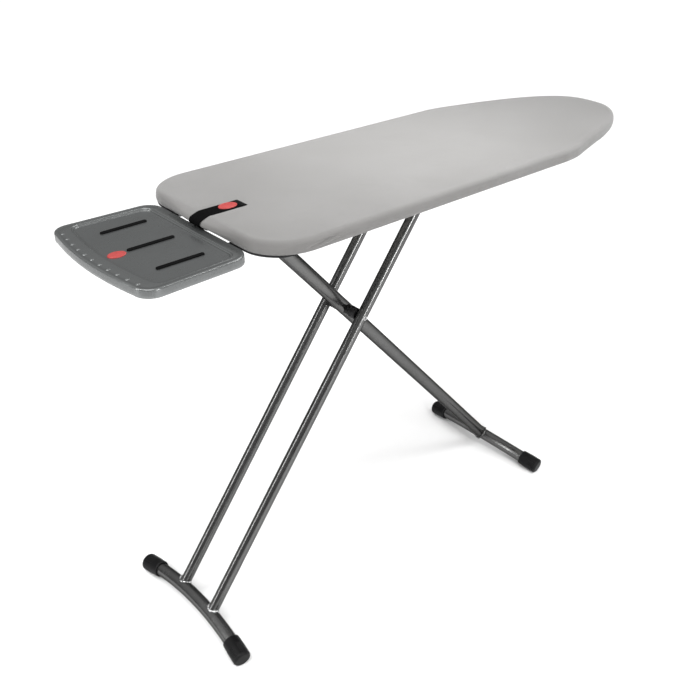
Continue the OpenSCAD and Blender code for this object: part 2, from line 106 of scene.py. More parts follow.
def sweep(name, pts, radius, seg=24, caps=True, up=None, squash_=1.0):
    """a tube along pts; radius a number or a list; parallel-transport frames"""
    pts = [Vector(p) for p in pts]
    n = len(pts)
    rad = radius if hasattr(radius, "__len__") else [radius] * n
    t = []
    for i in range(n):
        a = pts[max(0, i - 1)]; b = pts[min(n - 1, i + 1)]
        t.append((b - a).normalized())
    u = Vector(up) if up else Vector((0, 0, 1))
    if abs(u.dot(t[0])) > 0.95: u = Vector((0, 1, 0))
    u = (u - t[0] * u.dot(t[0])).normalized()
    verts, faces = [], []
    for i in range(n):
        if i:
            u = (u - t[i] * u.dot(t[i])).normalized()
        v = t[i].cross(u)
        for k in range(seg):
            a = 2 * pi * k / seg
            verts.append(pts[i] + u * cos(a) * rad[i] + v * sin(a) * rad[i] * squash_)
    for i in range(n - 1):
        for k in range(seg):
            a = i * seg + k; b = i * seg + (k + 1) % seg
            faces.append((a, b, b + seg, a + seg))
    if caps:
        faces.append(tuple(range(seg - 1, -1, -1)))
        faces.append(tuple((n - 1) * seg + k for k in range(seg)))
    return new_obj(name, verts, faces)


def lathe(name, profile, origin, axis, seg=48, ref=None, closed=False):
    """profile = [(distance along axis, radius)], turned about axis through origin"""
    o = Vector(origin); ax = Vector(axis).normalized()
    r = Vector(ref) if ref else (Vector((0, 0, 1)) if abs(ax.z) < 0.9 else Vector((1, 0, 0)))
    r = (r - ax * r.dot(ax)).normalized(); q = ax.cross(r)
    verts, faces, rows = [], [], []
    for d, rad in profile:
        if rad < 1e-7:
            rows.append([len(verts)]); verts.append(o + ax * d)
        else:
            rows.append(list(range(len(verts), len(verts) + seg)))
            for k in range(seg):
                a = 2 * pi * k / seg
                verts.append(o + ax * d + r * cos(a) * rad + q * sin(a) * rad)
    for A, B in zip(rows, rows[1:] + ([rows[0]] if closed else [])):
        if len(A) == 1 and len(B) == 1: continue
        if len(A) == 1:
            for k in range(seg): faces.append((A[0], B[(k + 1) % seg], B[k]))
        elif len(B) == 1:
            for k in range(seg): faces.append((A[k], A[(k + 1) % seg], B[0]))
        else:
            for k in range(seg): faces.append((A[k], A[(k + 1) % seg], B[(k + 1) % seg], B[k]))
    return new_obj(name, verts, faces)


def join(name, obs):
    bm = bmesh.new()
    for o in obs:
        me = o.data.copy(); me.transform(o.matrix_world)
        bm.from_mesh(me); bpy.data.meshes.remove(me)
    for o in obs:
        d = o.data; bpy.data.objects.remove(o); bpy.data.meshes.remove(d)
    me = bpy.data.meshes.new(name); bm.to_mesh(me); bm.free()
    ob = bpy.data.objects.new(name, me)
    bpy.context.scene.collection.objects.link(ob)
    return ob


# ------------------------------------------------------------------ node materials
class Mat:
    """a small builder for procedural node materials; all coordinates are the row frame's metres"""

    def __init__(self, name, color=(0.5, 0.5, 0.5), rough=0.5, metal=0.0, **sockets):
        self.m = bpy.data.materials.new(name)
        self.m.use_nodes = True
        self.nt = self.m.node_tree
        self.nt.nodes.clear()
        self.out = self.nt.nodes.new("ShaderNodeOutputMaterial")
        self.b = self.nt.nodes.new("ShaderNodeBsdfPrincipled")
        self.nt.links.new(self.b.outputs[0], self.out.inputs[0])
        self.b.inputs["Base Color"].default_value = (*color, 1)
        self.b.inputs["Roughness"].default_value = rough
        self.b.inputs["Metallic"].default_value = metal
        for k, v in sockets.items():
            self.b.inputs[k.replace("_", " ")].default_value = v
        self.tc = self.nt.nodes.new("ShaderNodeTexCoord")
        self.bump_in = None

    def node(self, kind, **props):
        n = self.nt.nodes.new(kind)
        for k, v in props.items(): setattr(n, k, v)
        return n

    def link(self, a, b): self.nt.links.new(a, b)

    def coords(self, scale=(1, 1, 1), rot=(0, 0, 0)):
        mp = self.node("ShaderNodeMapping")
        mp.inputs["Scale"].default_value = scale
        mp.inputs["Rotation"].default_value = rot
        self.link(self.tc.outputs["Object"], mp.inputs[0])
        return mp.outputs[0]

    def noise(self, scale, detail=3.0, rough=0.5, vec=None, dist=0.0):
        n = self.node("ShaderNodeTexNoise")
        n.inputs["Scale"].default_value = scale
        n.inputs["Detail"].default_value = detail
        n.inputs["Roughness"].default_value = rough
        n.inputs["Distortion"].default_value = dist
        self.link(vec if vec else self.tc.outputs["Object"], n.inputs["Vector"])
        return n.outputs["Fac"]

    def wave(self, scale, direction="X", vec=None, dist=0.0, profile="SIN"):
        n = self.node("ShaderNodeTexWave", bands_direction=direction, wave_profile=profile)
        n.inputs["Scale"].default_value = scale
        n.inputs["Distortion"].default_value = dist
        n.inputs["Detail"].default_value = 1.0
        self.link(vec if vec else self.tc.outputs["Object"], n.inputs["Vector"])
        return n.outputs["Fac"]

    def voronoi(self, scale, vec=None, feature="F1", out="Distance"):
        n = self.node("ShaderNodeTexVoronoi", feature=feature)
        n.inputs["Scale"].default_value = scale
        self.link(vec if vec else self.tc.outputs["Object"], n.inputs["Vector"])
        return n.outputs[out]

    def ramp(self, fac, stops):
        n = self.node("ShaderNodeValToRGB")
        e = n.color_ramp.elements
        while len(e) < len(stops): e.new(0.5)
        for el, (p, c) in zip(e, stops):
            el.position = p
            el.color = (*c, 1) if hasattr(c, "__len__") else (c, c, c, 1)
        self.link(fac, n.inputs[0])
        return n.outputs[0]

    def rng(self, fac, a, b, lo=0.0, hi=1.0):
        n = self.node("ShaderNodeMapRange")
        for s, v in (("From Min", lo), ("From Max", hi), ("To Min", a), ("To Max", b)):
            n.inputs[s].default_value = v
        self.link(fac, n.inputs[0])
        return n.outputs[0]

    def math(self, op, a, b=None):
        n = self.node("ShaderNodeMath", operation=op)
        for i, v in enumerate((a, b)):
            if v is None: continue
            if isinstance(v, (int, float)): n.inputs[i].default_value = v
            else: self.link(v, n.inputs[i])
        return n.outputs[0]

    def mix(self, fac, a, b, blend="MIX"):
        n = self.node("ShaderNodeMix", data_type="RGBA", blend_type=blend)
        if isinstance(fac, (int, float)): n.inputs[0].default_value = fac
        else: self.link(fac, n.inputs[0])
        for s, v in ((6, a), (7, b)):
            if hasattr(v, "__len__"): n.inputs[s].default_value = (*v, 1)
            else: self.link(v, n.inputs[s])
        return n.outputs[2]

    def color(self, out): self.link(out, self.b.inputs["Base Color"])

    def rough(self, out): self.link(out, self.b.inputs["Roughness"])

    def bump(self, height, dist, strength=1.0):
        n = self.node("ShaderNodeBump")
        n.inputs["Distance"].default_value = dist
        n.inputs["Strength"].default_value = strength
        self.link(height, n.inputs["Height"])
        if self.bump_in: self.link(self.bump_in, n.inputs["Normal"])
        self.bump_in = n.outputs[0]
        nm = self.b.inputs["Normal"]
        for l in list(nm.links): self.nt.links.remove(l)
        self.link(self.bump_in, nm)

    def point_down(self):
        """0 on faces that look up, 1 on faces that look down: where dust doesn't settle"""
        g = self.node("ShaderNodeNewGeometry")
        s = self.node("ShaderNodeSeparateXYZ")
        self.link(g.outputs["Normal"], s.inputs[0])
        return self.rng(s.outputs["Z"], 1, 0, -1, 1)

    def convex_edge_lighten(self, amount=0.4):
        """brighter along convex edges, from the mesh's own pointiness"""
        g = self.node("ShaderNodeNewGeometry")
        return self.ramp(g.outputs["Pointiness"], [(0.50, 0.0), (0.56, amount)])


def cotton(name, base, light, dark):
    M = Mat(name, base, 0.88, Sheen_Weight=0.35, Sheen_Roughness=0.5, Specular_IOR_Level=0.25)
    cloud = M.noise(5.5, 3, 0.55)
    slub = M.noise(60, 3, 0.6, M.coords((1, 6, 6)))
    c = M.ramp(cloud, [(0.30, dark), (0.72, light)])
    c2 = M.mix(M.rng(slub, 0, 0.22, 0.35, 0.8), c, tuple(v * 0.86 for v in base))
    # warp and weft, 0.55 mm threads
    wx = M.wave(1 / 0.00110 / 6.2832 * 3.1416, "X")
    wy = M.wave(1 / 0.00110 / 6.2832 * 3.1416, "Y")
    weave = M.math("MULTIPLY", wx, wy)
    c3 = M.mix(M.rng(weave, 0.10, 0.0), c2, tuple(v * 0.7 for v in base))
    M.color(c3)
    M.rough(M.rng(cloud, 0.82, 0.94))
    M.bump(weave, 0.00018, 0.5)
    M.bump(M.noise(900, 2, 0.6), 0.0001, 0.35)
    M.bump(M.noise(22, 3, 0.5), 0.0012, 0.45)
    return M.m


def enamel(name, color, metal, rough, flake=0.06, peel=0.00004, coat=0.25, edge=0.6):
    """a sprayed metallic coat: fine flake, orange peel, soft wear"""
    M = Mat(name, color, rough, metal, Coat_Weight=coat, Coat_Roughness=0.15, Specular_Tint=(edge, edge, edge, 1))
    fl = M.voronoi(1600, out="Color")
    sep = M.node("ShaderNodeSeparateColor"); M.link(fl, sep.inputs[0])
    tone = M.rng(sep.outputs[0], 1 - flake * 2.2, 1 + flake * 2.2)
    big = M.noise(9, 4, 0.6)
    tone = M.math("MULTIPLY", tone, M.rng(big, 0.95, 1.06, 0.3, 0.7))
    comb = M.node("ShaderNodeVectorMath", operation="SCALE")
    comb.inputs[0].default_value = color
    M.link(tone, comb.inputs["Scale"])
    worn = M.mix(M.convex_edge_lighten(0.35), comb.outputs[0], tuple(min(1, v * 2.4 + 0.08) for v in color))
    M.color(worn)
    r = M.math("ADD", M.rng(M.noise(35, 4, 0.65), rough - 0.02, rough + 0.05, 0.3, 0.7), M.rng(sep.outputs[1], -0.02, 0.02))
    M.rough(r)
    M.bump(M.noise(700, 2, 0.5), peel, 0.22)
    M.bump(M.noise(90, 2, 0.5), peel * 2, 0.07)
    return M.m


def plated(name, color=(0.55, 0.56, 0.57), rough=0.34, brush=(1, 40, 40)):
    """zinc-plated or bare steel with a fine brushed grain and faint staining"""
    M = Mat(name, color, rough, 1.0, Anisotropic=0.3)
    grain = M.noise(220, 3, 0.6, M.coords(brush))
    stain = M.noise(14, 4, 0.6)
    c = M.ramp(stain, [(0.32, tuple(v * 0.78 for v in color)), (0.7, tuple(min(1, v * 1.1) for v in color))])
    M.color(M.mix(M.rng(grain, 0, 0.18), c, tuple(v * 0.6 for v in color)))
    M.rough(M.math("ADD", M.rng(grain, -0.05, 0.07), M.rng(stain, rough - 0.03, rough + 0.1)))
    M.bump(grain, 0.00003, 0.5)
    return M.m


def moulded(name, color=(0.018, 0.018, 0.019), rough=0.5, grain=0.00006, scale=1400, spec=0.2, wear=0.15):
    """black moulded plastic or rubber: spark-eroded grain, dust, and lighter convex edges (rubbed wear at small
    amounts; on the foot rubber a painted highlight along the groove edges)
    """
    M = Mat(name, color, rough, 0.0, Specular_IOR_Level=spec)
    n = M.noise(scale, 3, 0.6)
    dust = M.noise(26, 5, 0.65)
    c = M.ramp(dust, [(0.35, color), (0.8, tuple(v * 1.8 + 0.002 for v in color))])
    # lighter convex edges: rubbed wear, and with a large wear value (the foot rubber) a painted highlight along the
    # groove edges
    M.color(M.mix(M.convex_edge_lighten(wear), c, tuple(v * 3 + 0.02 for v in color)))
    M.rough(M.math("ADD", M.rng(dust, rough - 0.06, rough + 0.12), M.rng(n, -0.04, 0.04)))
    M.bump(n, grain, 0.6)
    return M.m


def webbing(name):
    """flat black webbing: ribs across the strap and a twill of fine yarn along it"""
    M = Mat(name, (0.003, 0.003, 0.0032), 0.80, Specular_IOR_Level=0.03)
    rib = M.wave(1 / 0.0018 / 2, "Y", dist=0.4)
    yarn = M.wave(1 / 0.0013 / 2, "X", dist=0.4)
    w = M.math("MULTIPLY", rib, M.rng(yarn, 0.35, 1))
    fuzz = M.noise(500, 3, 0.6)
    M.color(M.mix(w, (0.0012, 0.0012, 0.0012), (0.0050, 0.0050, 0.0053)))
    M.rough(M.rng(fuzz, 0.62, 0.85))
    M.bump(w, 0.0003, 0.8)
    M.bump(fuzz, 0.0001, 0.4)
    return M.m


def felt(name, color):
    M = Mat(name, color, 0.95, Sheen_Weight=0.4)
    f = M.noise(400, 5, 0.7, dist=1.2)
    b = M.noise(35, 4, 0.6)
    M.color(M.mix(M.rng(f, 0, 0.4), M.ramp(b, [(0.3, tuple(v * 0.85 for v in color)), (0.7, color)]), tuple(v * 0.7 for v in color)))
    M.bump(f, 0.0006, 0.8)
    return M.m


def badge_mat(name, color):
    """domed resin over a plain red field"""
    M = Mat(name, color, 0.32, Coat_Weight=0.25, Coat_Roughness=0.12, Specular_IOR_Level=0.3)
    n = M.noise(160, 3, 0.5)
    M.color(M.ramp(n, [(0.3, tuple(v * 0.88 for v in color)), (0.7, tuple(min(1, v * 1.08) for v in color))]))
    M.rough(M.rng(n, 0.22, 0.36))
    M.bump(n, 0.00005, 0.3)
    return M.m


COTTON = cotton("cotton_cover", (0.163, 0.160, 0.1555), (0.1735, 0.170, 0.166), (0.148, 0.1445, 0.140))
HEM = cotton("cotton_hem", (0.164, 0.157, 0.153), (0.177, 0.170, 0.166), (0.145, 0.138, 0.134))
FELT = felt("felt_pad", (0.62, 0.60, 0.56))
LEG = enamel("leg_coat", (0.112, 0.112, 0.111), 0.95, 0.23, 0.022, 0.00001, 0.0, 0.22)
TRAY = enamel("rest_coat", (0.116, 0.121, 0.121), 0.60, 0.28, 0.012, 0.000008, 0.35, 0.6)
GREYP = enamel("frame_coat", (0.050, 0.050, 0.052), 0.40, 0.48)
ZINC = plated("zinc_sheet")
STEEL = plated("bright_steel", (0.66, 0.66, 0.66), 0.26)
def bead_metal(name):
    """cold weld metal, brushed with silver paint that missed in places"""
    M = Mat(name, (0.55, 0.55, 0.55), 0.25, 1.0)
    sp = M.noise(260, 3, 0.6)
    big = M.noise(120, 2, 0.5)
    M.color(M.ramp(big, [(0.40, (0.16, 0.16, 0.16)), (0.50, (0.50, 0.50, 0.50)), (0.62, (0.86, 0.86, 0.86))]))
    M.rough(M.rng(sp, 0.16, 0.42, 0.3, 0.7))
    M.bump(sp, 0.0004, 0.8)
    return M.m


WELD = bead_metal("weld_bead")
PLASTIC = moulded("black_plastic", (0.006, 0.006, 0.0065), 0.46)
# the large edge value (0.9) paints a highlight along the cap's groove edges
RUBBER = moulded("foot_rubber", (0.0026, 0.0026, 0.0028), 0.40, 0.00005, 1100, 0.10, 0.9)
SILICONE = moulded("silicone", (0.0012, 0.0012, 0.0014), 0.66, 0.00005, 1100, 0.04)
WEB = webbing("strap_webbing")
RED = badge_mat("badge_red", (0.37, 0.046, 0.043))
PALE = badge_mat("badge_line", (0.80, 0.76, 0.74))


def put(ob, mat):
    ob.data.materials.clear()
    ob.data.materials.append(mat)
    return ob


def coat(node, mat):
    """a CAD node keeps its shape and gets a detailed material"""
    ob = N[node]
    for s in ob.material_slots: s.material = mat
    if not ob.material_slots: ob.data.materials.append(mat)


# ------------------------------------------------------------------ the outline of the padded top
def top_half(n_tail=14, n_side=40, n_nose=34):
    """(x, half width) from the tail to just before the nose"""
    p = []
    for i in range(n_tail + 1):
        a = (pi / 2) * i / n_tail
        p.append((XT + TRX * (1 - cos(a)), HW - TRY + TRY * sin(a)))
    x0, x1 = XT + TRX, TAPER
    for i in range(1, n_side + 1):
        p.append((x0 + (x1 - x0) * i / n_side, HW))
    for i in range(2, n_nose):
        f = (pi / 2) * i / n_nose
        p.append((TAPER + (XN - TAPER) * sin(f) ** (2 / NP), HW * cos(f) ** (2 / NQ)))
    return p


def smooth_loop(p, rounds=2, closed=True):
    p = [Vector((a[0], a[1])) for a in p]
    n = len(p)
    for _ in range(rounds):
        p = [p[i] * 0.5 + (p[(i - 1) % n] + p[(i + 1) % n]) * 0.25 for i in range(n)]
    return p


def resample(p, n):
    """n points evenly along a closed loop"""
    d = [0]
    for i in range(len(p)): d.append(d[-1] + (p[(i + 1) % len(p)] - p[i]).length)
    total, out, j = d[-1], [], 0
    for k in range(n):
        s = total * k / n
        while d[j + 1] < s: j += 1
        t = (s - d[j]) / max(1e-9, d[j + 1] - d[j])
        out.append(p[j].lerp(p[(j + 1) % len(p)], t))
    return out, total


H0 = top_half()
LOOP0 = [(x, -y) for x, y in H0] + [(XN, 0.0)] + [(x, y) for x, y in reversed(H0)]
NR = 720
LOOP, PERIM = resample(smooth_loop(resample([Vector(p) for p in LOOP0], 720)[0], 3), NR)


def normals(loop):
    n = len(loop); out = []
    for i in range(n):
        t = (loop[(i + 1) % n] - loop[i - 1]).normalized()
        out.append(Vector((t.y, -t.x)))
    for _ in range(6):
        out = [(out[i - 1] + out[i] * 2 + out[(i + 1) % n]).normalized() for i in range(n)]
    return out


NORM = normals(LOOP)
if NORM[0].x > 0 and abs(LOOP[0].x - XT) < 0.02: NORM = [-v for v in NORM]
# where the straight side turns into the taper the cover stands a little prouder, then a little tighter
for i in range(NR):
    x_, y_ = LOOP[i].x - SH, LOOP[i].y
    if x_ > 0.12:
        k_ = (1.0 if y_ < 0 else 0.4) * min(1, abs(y_) / 0.08)
        LOOP[i] = LOOP[i] + NORM[i] * (k_ * (0.0034 * math.exp(-((x_ - 0.262) / 0.034) ** 2) - 0.0024 * math.exp(-((x_ - 0.375) / 0.060) ** 2)))
NORM = normals(LOOP)
if NORM[0].x > 0 and abs(LOOP[0].x - XT) < 0.02: NORM = [-v for v in NORM]
# curvature, for where the gathers are
CURV = []
for i in range(NR):
    a, b = NORM[i - 4], NORM[(i + 4) % NR]
    CURV.append(min(1.0, a.angle(b, 0.0) / (8 * PERIM / NR) / 12.0))
for _ in range(30): CURV = [(CURV[i - 1] + CURV[i] * 2 + CURV[(i + 1) % NR]) / 4 for i in range(NR)]


def inset(i, d):
    return LOOP[i] - NORM[i] * d


def half_w(x):
    if x < XT + TRX: return HW - TRY + TRY * sqrt(max(0, 1 - ((XT + TRX - x) / TRX) ** 2))
    if x < TAPER: return HW
    return HW * max(0, 1 - ((x - TAPER) / (XN - TAPER)) ** NP) ** (1 / NQ)


def nz(x, y, z, s):
    return noise.noise(Vector((x * s, y * s, z * s)))


# ------------------------------------------------------------------ the cotton cover
def pucker(i, amp_straight=0.15):
    """gathers round the edge: strong where the outline turns"""
    s = i / NR * PERIM
    c = amp_straight + (1 - amp_straight) * CURV[i]
    wl = 0.017
    a = sin(2 * pi * s / wl + 2.2 * nz(s * 9, 3.1, 0, 1)) * (0.65 + 0.6 * nz(s * 21, 7.7, 0, 1))
    b = nz(s * 38, 1.3, 0, 1)
    return c * (0.7 * a + 0.6 * b)


def strap_at(x, y):
    """1 under the strap, 0 away from it: the webbing presses the padding down"""
    e = (abs(y) - 0.0175) / 0.010
    f = (x - (XT + 0.096)) / 0.012
    k = 1 - min(1, max(0, e)); g = 1 - min(1, max(0, f))
    return (k * k * (3 - 2 * k)) * (g * g * (3 - 2 * g))


def top_z(x, y, edge):
    """the ironing surface: flat, with the soft unevenness of cloth over felt"""
    soft = 0.00045 * nz(x, y, 0, 7) + 0.00022 * nz(x, y, 5, 21)
    # the unevenness fades out towards the edge, and the strap presses the top down a little
    return ZT - 0.0006 + soft * min(1, edge / 0.03) - 0.0009 * strap_at(x, y)


def crease(x, y, dz):
    """tucks in the skirt by the front tail corner, where the cloth was pulled round"""
    u = (x - (XT + 0.055)) / 0.110
    if y > 0 or u < -0.3 or u > 1.5: return 0.0
    out = 0.0
    for (u0, u1, za, zb, amp, wd) in ((0.05, 1.05, 0.0190, 0.0072, 0.0021, 0.0024), (0.35, 1.30, 0.0215, 0.0120, 0.0013, 0.0020), (-0.20, 0.50, 0.0150, 0.0110, 0.0010, 0.0028)):
        t = (u - u0) / (u1 - u0)
        if t <= 0 or t >= 1: continue
        zc = za + (zb - za) * t + 0.0007 * sin(9 * t)
        e = (dz - zc) / wd
        out += amp * (math.exp(-e * e) - 0.55 * math.exp(-((dz - zc + 0.0040) / 0.0026) ** 2)) * sin(pi * t) ** 0.7
    return out


BULGE = ((0.0, 0.0), (0.0018, 0.10), (0.0035, 0.29), (0.0055, 0.60), (0.0075, 0.86), (0.0105, 0.98), (0.0130, 1.0), (0.0155, 0.91), (0.0180, 0.72), (0.0205, 0.42), (0.0225, 0.19), (0.0245, 0.05), (0.0262, 0.0), (0.05, 0.0))


def tail_bulge(x, y, dz):
    """the strap draws the padding out over the iron rest: how far the side stands out at this depth"""
    if x > XT + 0.030 or abs(y) > 0.150: return 0.0
    a = cos(pi / 2 * abs(y) / 0.150) ** 2
    for (z0, g0), (z1, g1) in zip(BULGE, BULGE[1:]):
        if dz <= z1: return 0.0125 * a * (g0 + (g1 - g0) * (dz - z0) / (z1 - z0))
    return 0.0


def cover_profile():
    """(inset, z below the ironing surface, how much the gathers show)"""
    p = []
    R1 = 0.0115
    for k in range(0, 8):
        a = (pi / 2) * k / 7
        p.append((R1 * (1 - sin(a)), R1 * 0.92 * (1 - cos(a)), 0.10 + 0.35 * k / 7))
    for k in range(8):
        t = k / 7
        p.append((-0.0011 * sin(pi * (0.12 + 0.80 * t)), 0.0118 + 0.0088 * t, 0.55 + 0.45 * t))
    R2 = 0.0050
    for k in range(1, 7):
        a = (pi / 2) * k / 6
        p.append((R2 * (1 - cos(a)), 0.0215 + R2 * sin(a), 1.0))
    p += [(0.0085, 0.0266, 1.3), (0.0125, 0.0266, 1.7), (0.0170, 0.0265, 2.1), (0.0215, 0.0264, 2.5), (0.0262, 0.0263, 2.9)]
    return p


verts, faces = [], []
rings = []
# concentric rings inside the flat top: from the rolled edge towards the middle line
prof = cover_profile()
D0 = prof[0][0]
inner_d = [0.016, 0.021, 0.027, 0.034, 0.042]
ring_pts = []
for d in reversed(inner_d):
    ring_pts.append([(inset(i, d), d) for i in range(NR)])
idx = []
for ring in ring_pts:
    row = []
    for p, d in ring:
        row.append(len(verts)); verts.append(Vector((p.x, p.y, top_z(p.x, p.y, d))))
    idx.append(row)
for d, dz, g in prof:
    row = []
    for i in range(NR):
        q = pucker(i)
        amp = 0.00085 * g
        side = g if dz < 0.0255 else 0.0
        dd = d - q * amp * (1.0 if dz < 0.024 else 0.35) * (1 if side else 0.4)
        p = inset(i, dd)
        x, y = p.x, p.y
        zz = ZT - 0.0006 - dz
        if d < 0.012 and dz < 0.011: zz += 0.00035 * nz(x, y, 0, 9) * (1 - dz / 0.011)
        if dz >= 0.0262: zz += min(0, q * 0.0009 * g) * 0.6 + 0.0004 * abs(q)
        # a soft sag of the side between gathers, and a slight lean of the whole skirt
        if 0.006 < dz < 0.025:
            dd2 = 0.0005 * nz(x * 1.0, y * 1.0, dz * 20, 16) + 0.0004 * nz(x, y, 3, 40)
            x += NORM[i].x * dd2; y += NORM[i].y * dd2
            if abs(y) < 0.020 and x < XT + 0.01: x += 0.0008
        if 0.002 < dz < 0.025:
            cr = crease(x, y, dz)
            x -= NORM[i].x * cr; y -= NORM[i].y * cr
        x -= tail_bulge(x, y, dz)
        row.append(len(verts)); verts.append(Vector((x, y, zz)))
    idx.append(row)
for A, B in zip(idx, idx[1:]):
    for i in range(NR):
        j = (i + 1) % NR
        faces.append((A[i], A[j], B[j], B[i]))
# the middle of the top: a regular grid stitched to the innermost ring by a triangulated band
from mathutils import geometry
inner = idx[0]
GS = 0.012
gx0, gx1 = XT, XN
pts2 = [Vector((verts[k].x, verts[k].y)) for k in inner]
grid = []
nx = int((gx1 - gx0) / GS) + 1
ny = int(W / GS) + 1
for a in range(nx + 1):
    x = gx0 + a * GS
    for b in range(-ny // 2, ny // 2 + 1):
        y = b * GS + (0.5 * GS if a % 2 else 0)
        lim = half_w(x) - 0.042
        if lim <= 0: continue
        if x < XT + 0.052 or x > XN - 0.046 or abs(y) > lim - 0.006: continue
        if x > XT + 0.35 and x > TAPER - 0.02:
            # distance to the ring, near the nose
            if min((q - Vector((x, y))).length for q in pts2) < 0.008: continue
        if x < XT + 0.13:
            if min((q - Vector((x, y))).length for q in pts2) < 0.008: continue
        grid.append(Vector((x, y)))
allp = pts2 + grid
edges = [(i, (i + 1) % NR) for i in range(NR)]
res = geometry.delaunay_2d_cdt(allp, edges, [list(range(NR))], 1, 1e-6)
vout, _, fout, orig = res[0], res[1], res[2], res[3]
mapv = []
for v, o in zip(vout, orig):
    src = [k for k in o if k < NR]
    if src: mapv.append(inner[src[0]])
    else:
        mapv.append(len(verts)); verts.append(Vector((v.x, v.y, top_z(v.x, v.y, 0.05))))
for f in fout:
    faces.append(tuple(mapv[k] for k in f))
cover = new_obj("cover_cloth", verts, faces)
bm = bmesh.new(); bm.from_mesh(cover.data)
bmesh.ops.remove_doubles(bm, verts=bm.verts, dist=1e-6)
bmesh.ops.recalc_face_normals(bm, faces=bm.faces)
COVER_AREA = sum(f.calc_area() for f in bm.faces)
bm.to_mesh(cover.data); bm.free()
# outward normals must look up on top
up = sum(p.normal.z * p.area for p in cover.data.polygons if p.center.z > ZT - 0.004)
if up < 0:
    bm = bmesh.new(); bm.from_mesh(cover.data); bmesh.ops.reverse_faces(bm, faces=bm.faces); bm.to_mesh(cover.data); bm.free()
m = cover.modifiers.new("thick", "SOLIDIFY"); m.thickness = 0.0009; m.offset = -1; m.use_rim = True
apply_mods(cover)
put(cover, COTTON)
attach(cover, "board")
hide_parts("cover", "cover_hem")
print("COVER AREA", round(COVER_AREA, 4))

# the casing that holds the drawcord, at the inner edge of the hem
casing_r = []
path = []
for i in range(0, NR, 2):
    q = pucker(i)
    p = inset(i, 0.0275 - 0.0006 * q)
    path.append(Vector((p.x, p.y, Z_HEM + 0.0024 + 0.0004 * q)))
    casing_r.append(0.0021 * (1 + 0.22 * q))


def closed_tube(name, path, rad, seg=12, flat=1.0):
    n = len(path); verts, faces = [], []
    for i in range(n):
        t = (path[(i + 1) % n] - path[i - 1]).normalized()
        u = Vector((0, 0, 1)); v = t.cross(u).normalized()
        r = rad[i] if hasattr(rad, "__len__") else rad
        for k in range(seg):
            a = 2 * pi * k / seg
            verts.append(path[i] + v * cos(a) * r + u * sin(a) * r * flat)
    for i in range(n):
        for k in range(seg):
            a, b = i * seg + k, i * seg + (k + 1) % seg
            c, d = ((i + 1) % n) * seg + (k + 1) % seg, ((i + 1) % n) * seg + k
            faces.append((a, b, c, d))
    return new_obj(name, verts, faces)


casing = put(closed_tube("hem_casing", path, casing_r), HEM)
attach(casing, "board")

# ------------------------------------------------------------------ felt padding
verts, faces, idx = [], [], []
Z0, Z1 = Z_MESH + 0.0014, ZT - 0.0021
for d, z in ((0.060, Z1), (0.014, Z1), (0.0095, Z1 - 0.0008), (0.0072, Z1 - 0.0026), (0.0066, (Z0 + Z1) / 2), (0.0072, Z0 + 0.0020), (0.0095, Z0 + 0.0004), (0.014, Z0), (0.060, Z0)):
    row = []
    for i in range(0, NR, 2):
        p = inset(i, d + (0.0003 * nz(i * 0.3, z * 400, 0, 1) if d < 0.012 else 0))
        row.append(len(verts)); verts.append(Vector((p.x, p.y, z)))
    idx.append(row)
n2 = len(idx[0])
for A, B in zip(idx, idx[1:]):
    for i in range(n2):
        j = (i + 1) % n2
        faces.append((A[i], A[j], B[j], B[i]))
faces.append(tuple(idx[0])); faces.append(tuple(reversed(idx[-1])))
pad = put(new_obj("felt_pad", verts, faces), FELT)
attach(pad, "board"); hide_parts("padding")

# ------------------------------------------------------------------ expanded steel mesh and the frame under it
def inside(x, y, d):
    return XT + d < x < XN - d and abs(y) < half_w(x) - d and (x < TAPER or abs(y) < half_w(min(XN, x + d * 0.9)) - d * 0.35) \
        and (x > XT + TRX or abs(y) < half_w(max(XT, x - d * 0.6)) - d * 0.5)


def diamond_mesh(cw=0.024, ch=0.011, zc=Z_MESH + 0.0006):
    bm = bmesh.new()
    vs = {}
    def V(i, j):
        k = (i, j)
        if k not in vs: vs[k] = bm.verts.new((XT + i * cw / 2, j * ch / 2, zc))
        return vs[k]
    ni, nj = int(L / (cw / 2)), int(HW / (ch / 2)) + 1
    for i in range(1, ni):
        for j in range(-nj, nj + 1):
            if (i + j) % 2: continue
            x, y = XT + i * cw / 2, j * ch / 2
            if not (inside(x - cw / 2, y, 0.012) and inside(x + cw / 2, y, 0.012) and inside(x, y + ch / 2, 0.012) and inside(x, y - ch / 2, 0.012)): continue
            bm.faces.new((V(i - 1, j), V(i, j - 1), V(i + 1, j), V(i, j + 1)))
    ob = bm_obj("mesh_strands", bm, False)
    m = ob.modifiers.new("w", "WIREFRAME"); m.thickness = 0.0016; m.use_even_offset = False; m.use_replace = True; m.use_boundary = True; m.offset = 0
    apply_mods(ob)
    return ob


strands = diamond_mesh()
rows, verts, faces = [], [], []
for d, z in ((0.0072, Z_MESH + 0.0001), (0.0072, Z_MESH + 0.0012), (0.022, Z_MESH + 0.0012), (0.022, Z_MESH + 0.0001)):
    rows.append(list(range(len(verts), len(verts) + NR // 2)))
    for i in range(0, NR, 2):
        p = inset(i, d); verts.append((p.x, p.y, z))
for A, B in zip(rows, rows[1:] + rows[:1]):
    for i in range(NR // 2): faces.append((A[i], A[(i + 1) % (NR // 2)], B[(i + 1) % (NR // 2)], B[i]))
rim = new_obj("mesh_rim", verts, faces, False)
meshtop = put(join("mesh_panel", [strands, rim]), GREYP)
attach(meshtop, "board"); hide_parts("mesh_top")

path = [Vector((inset(i, 0.0110).x, inset(i, 0.0110).y, ZT - 0.0176)) for i in range(0, NR, 2)]
frame_tube = put(closed_tube("perimeter_tube", path, 0.0086, 24, 0.80), GREYP)
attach(frame_tube, "board"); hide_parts("board_frame")

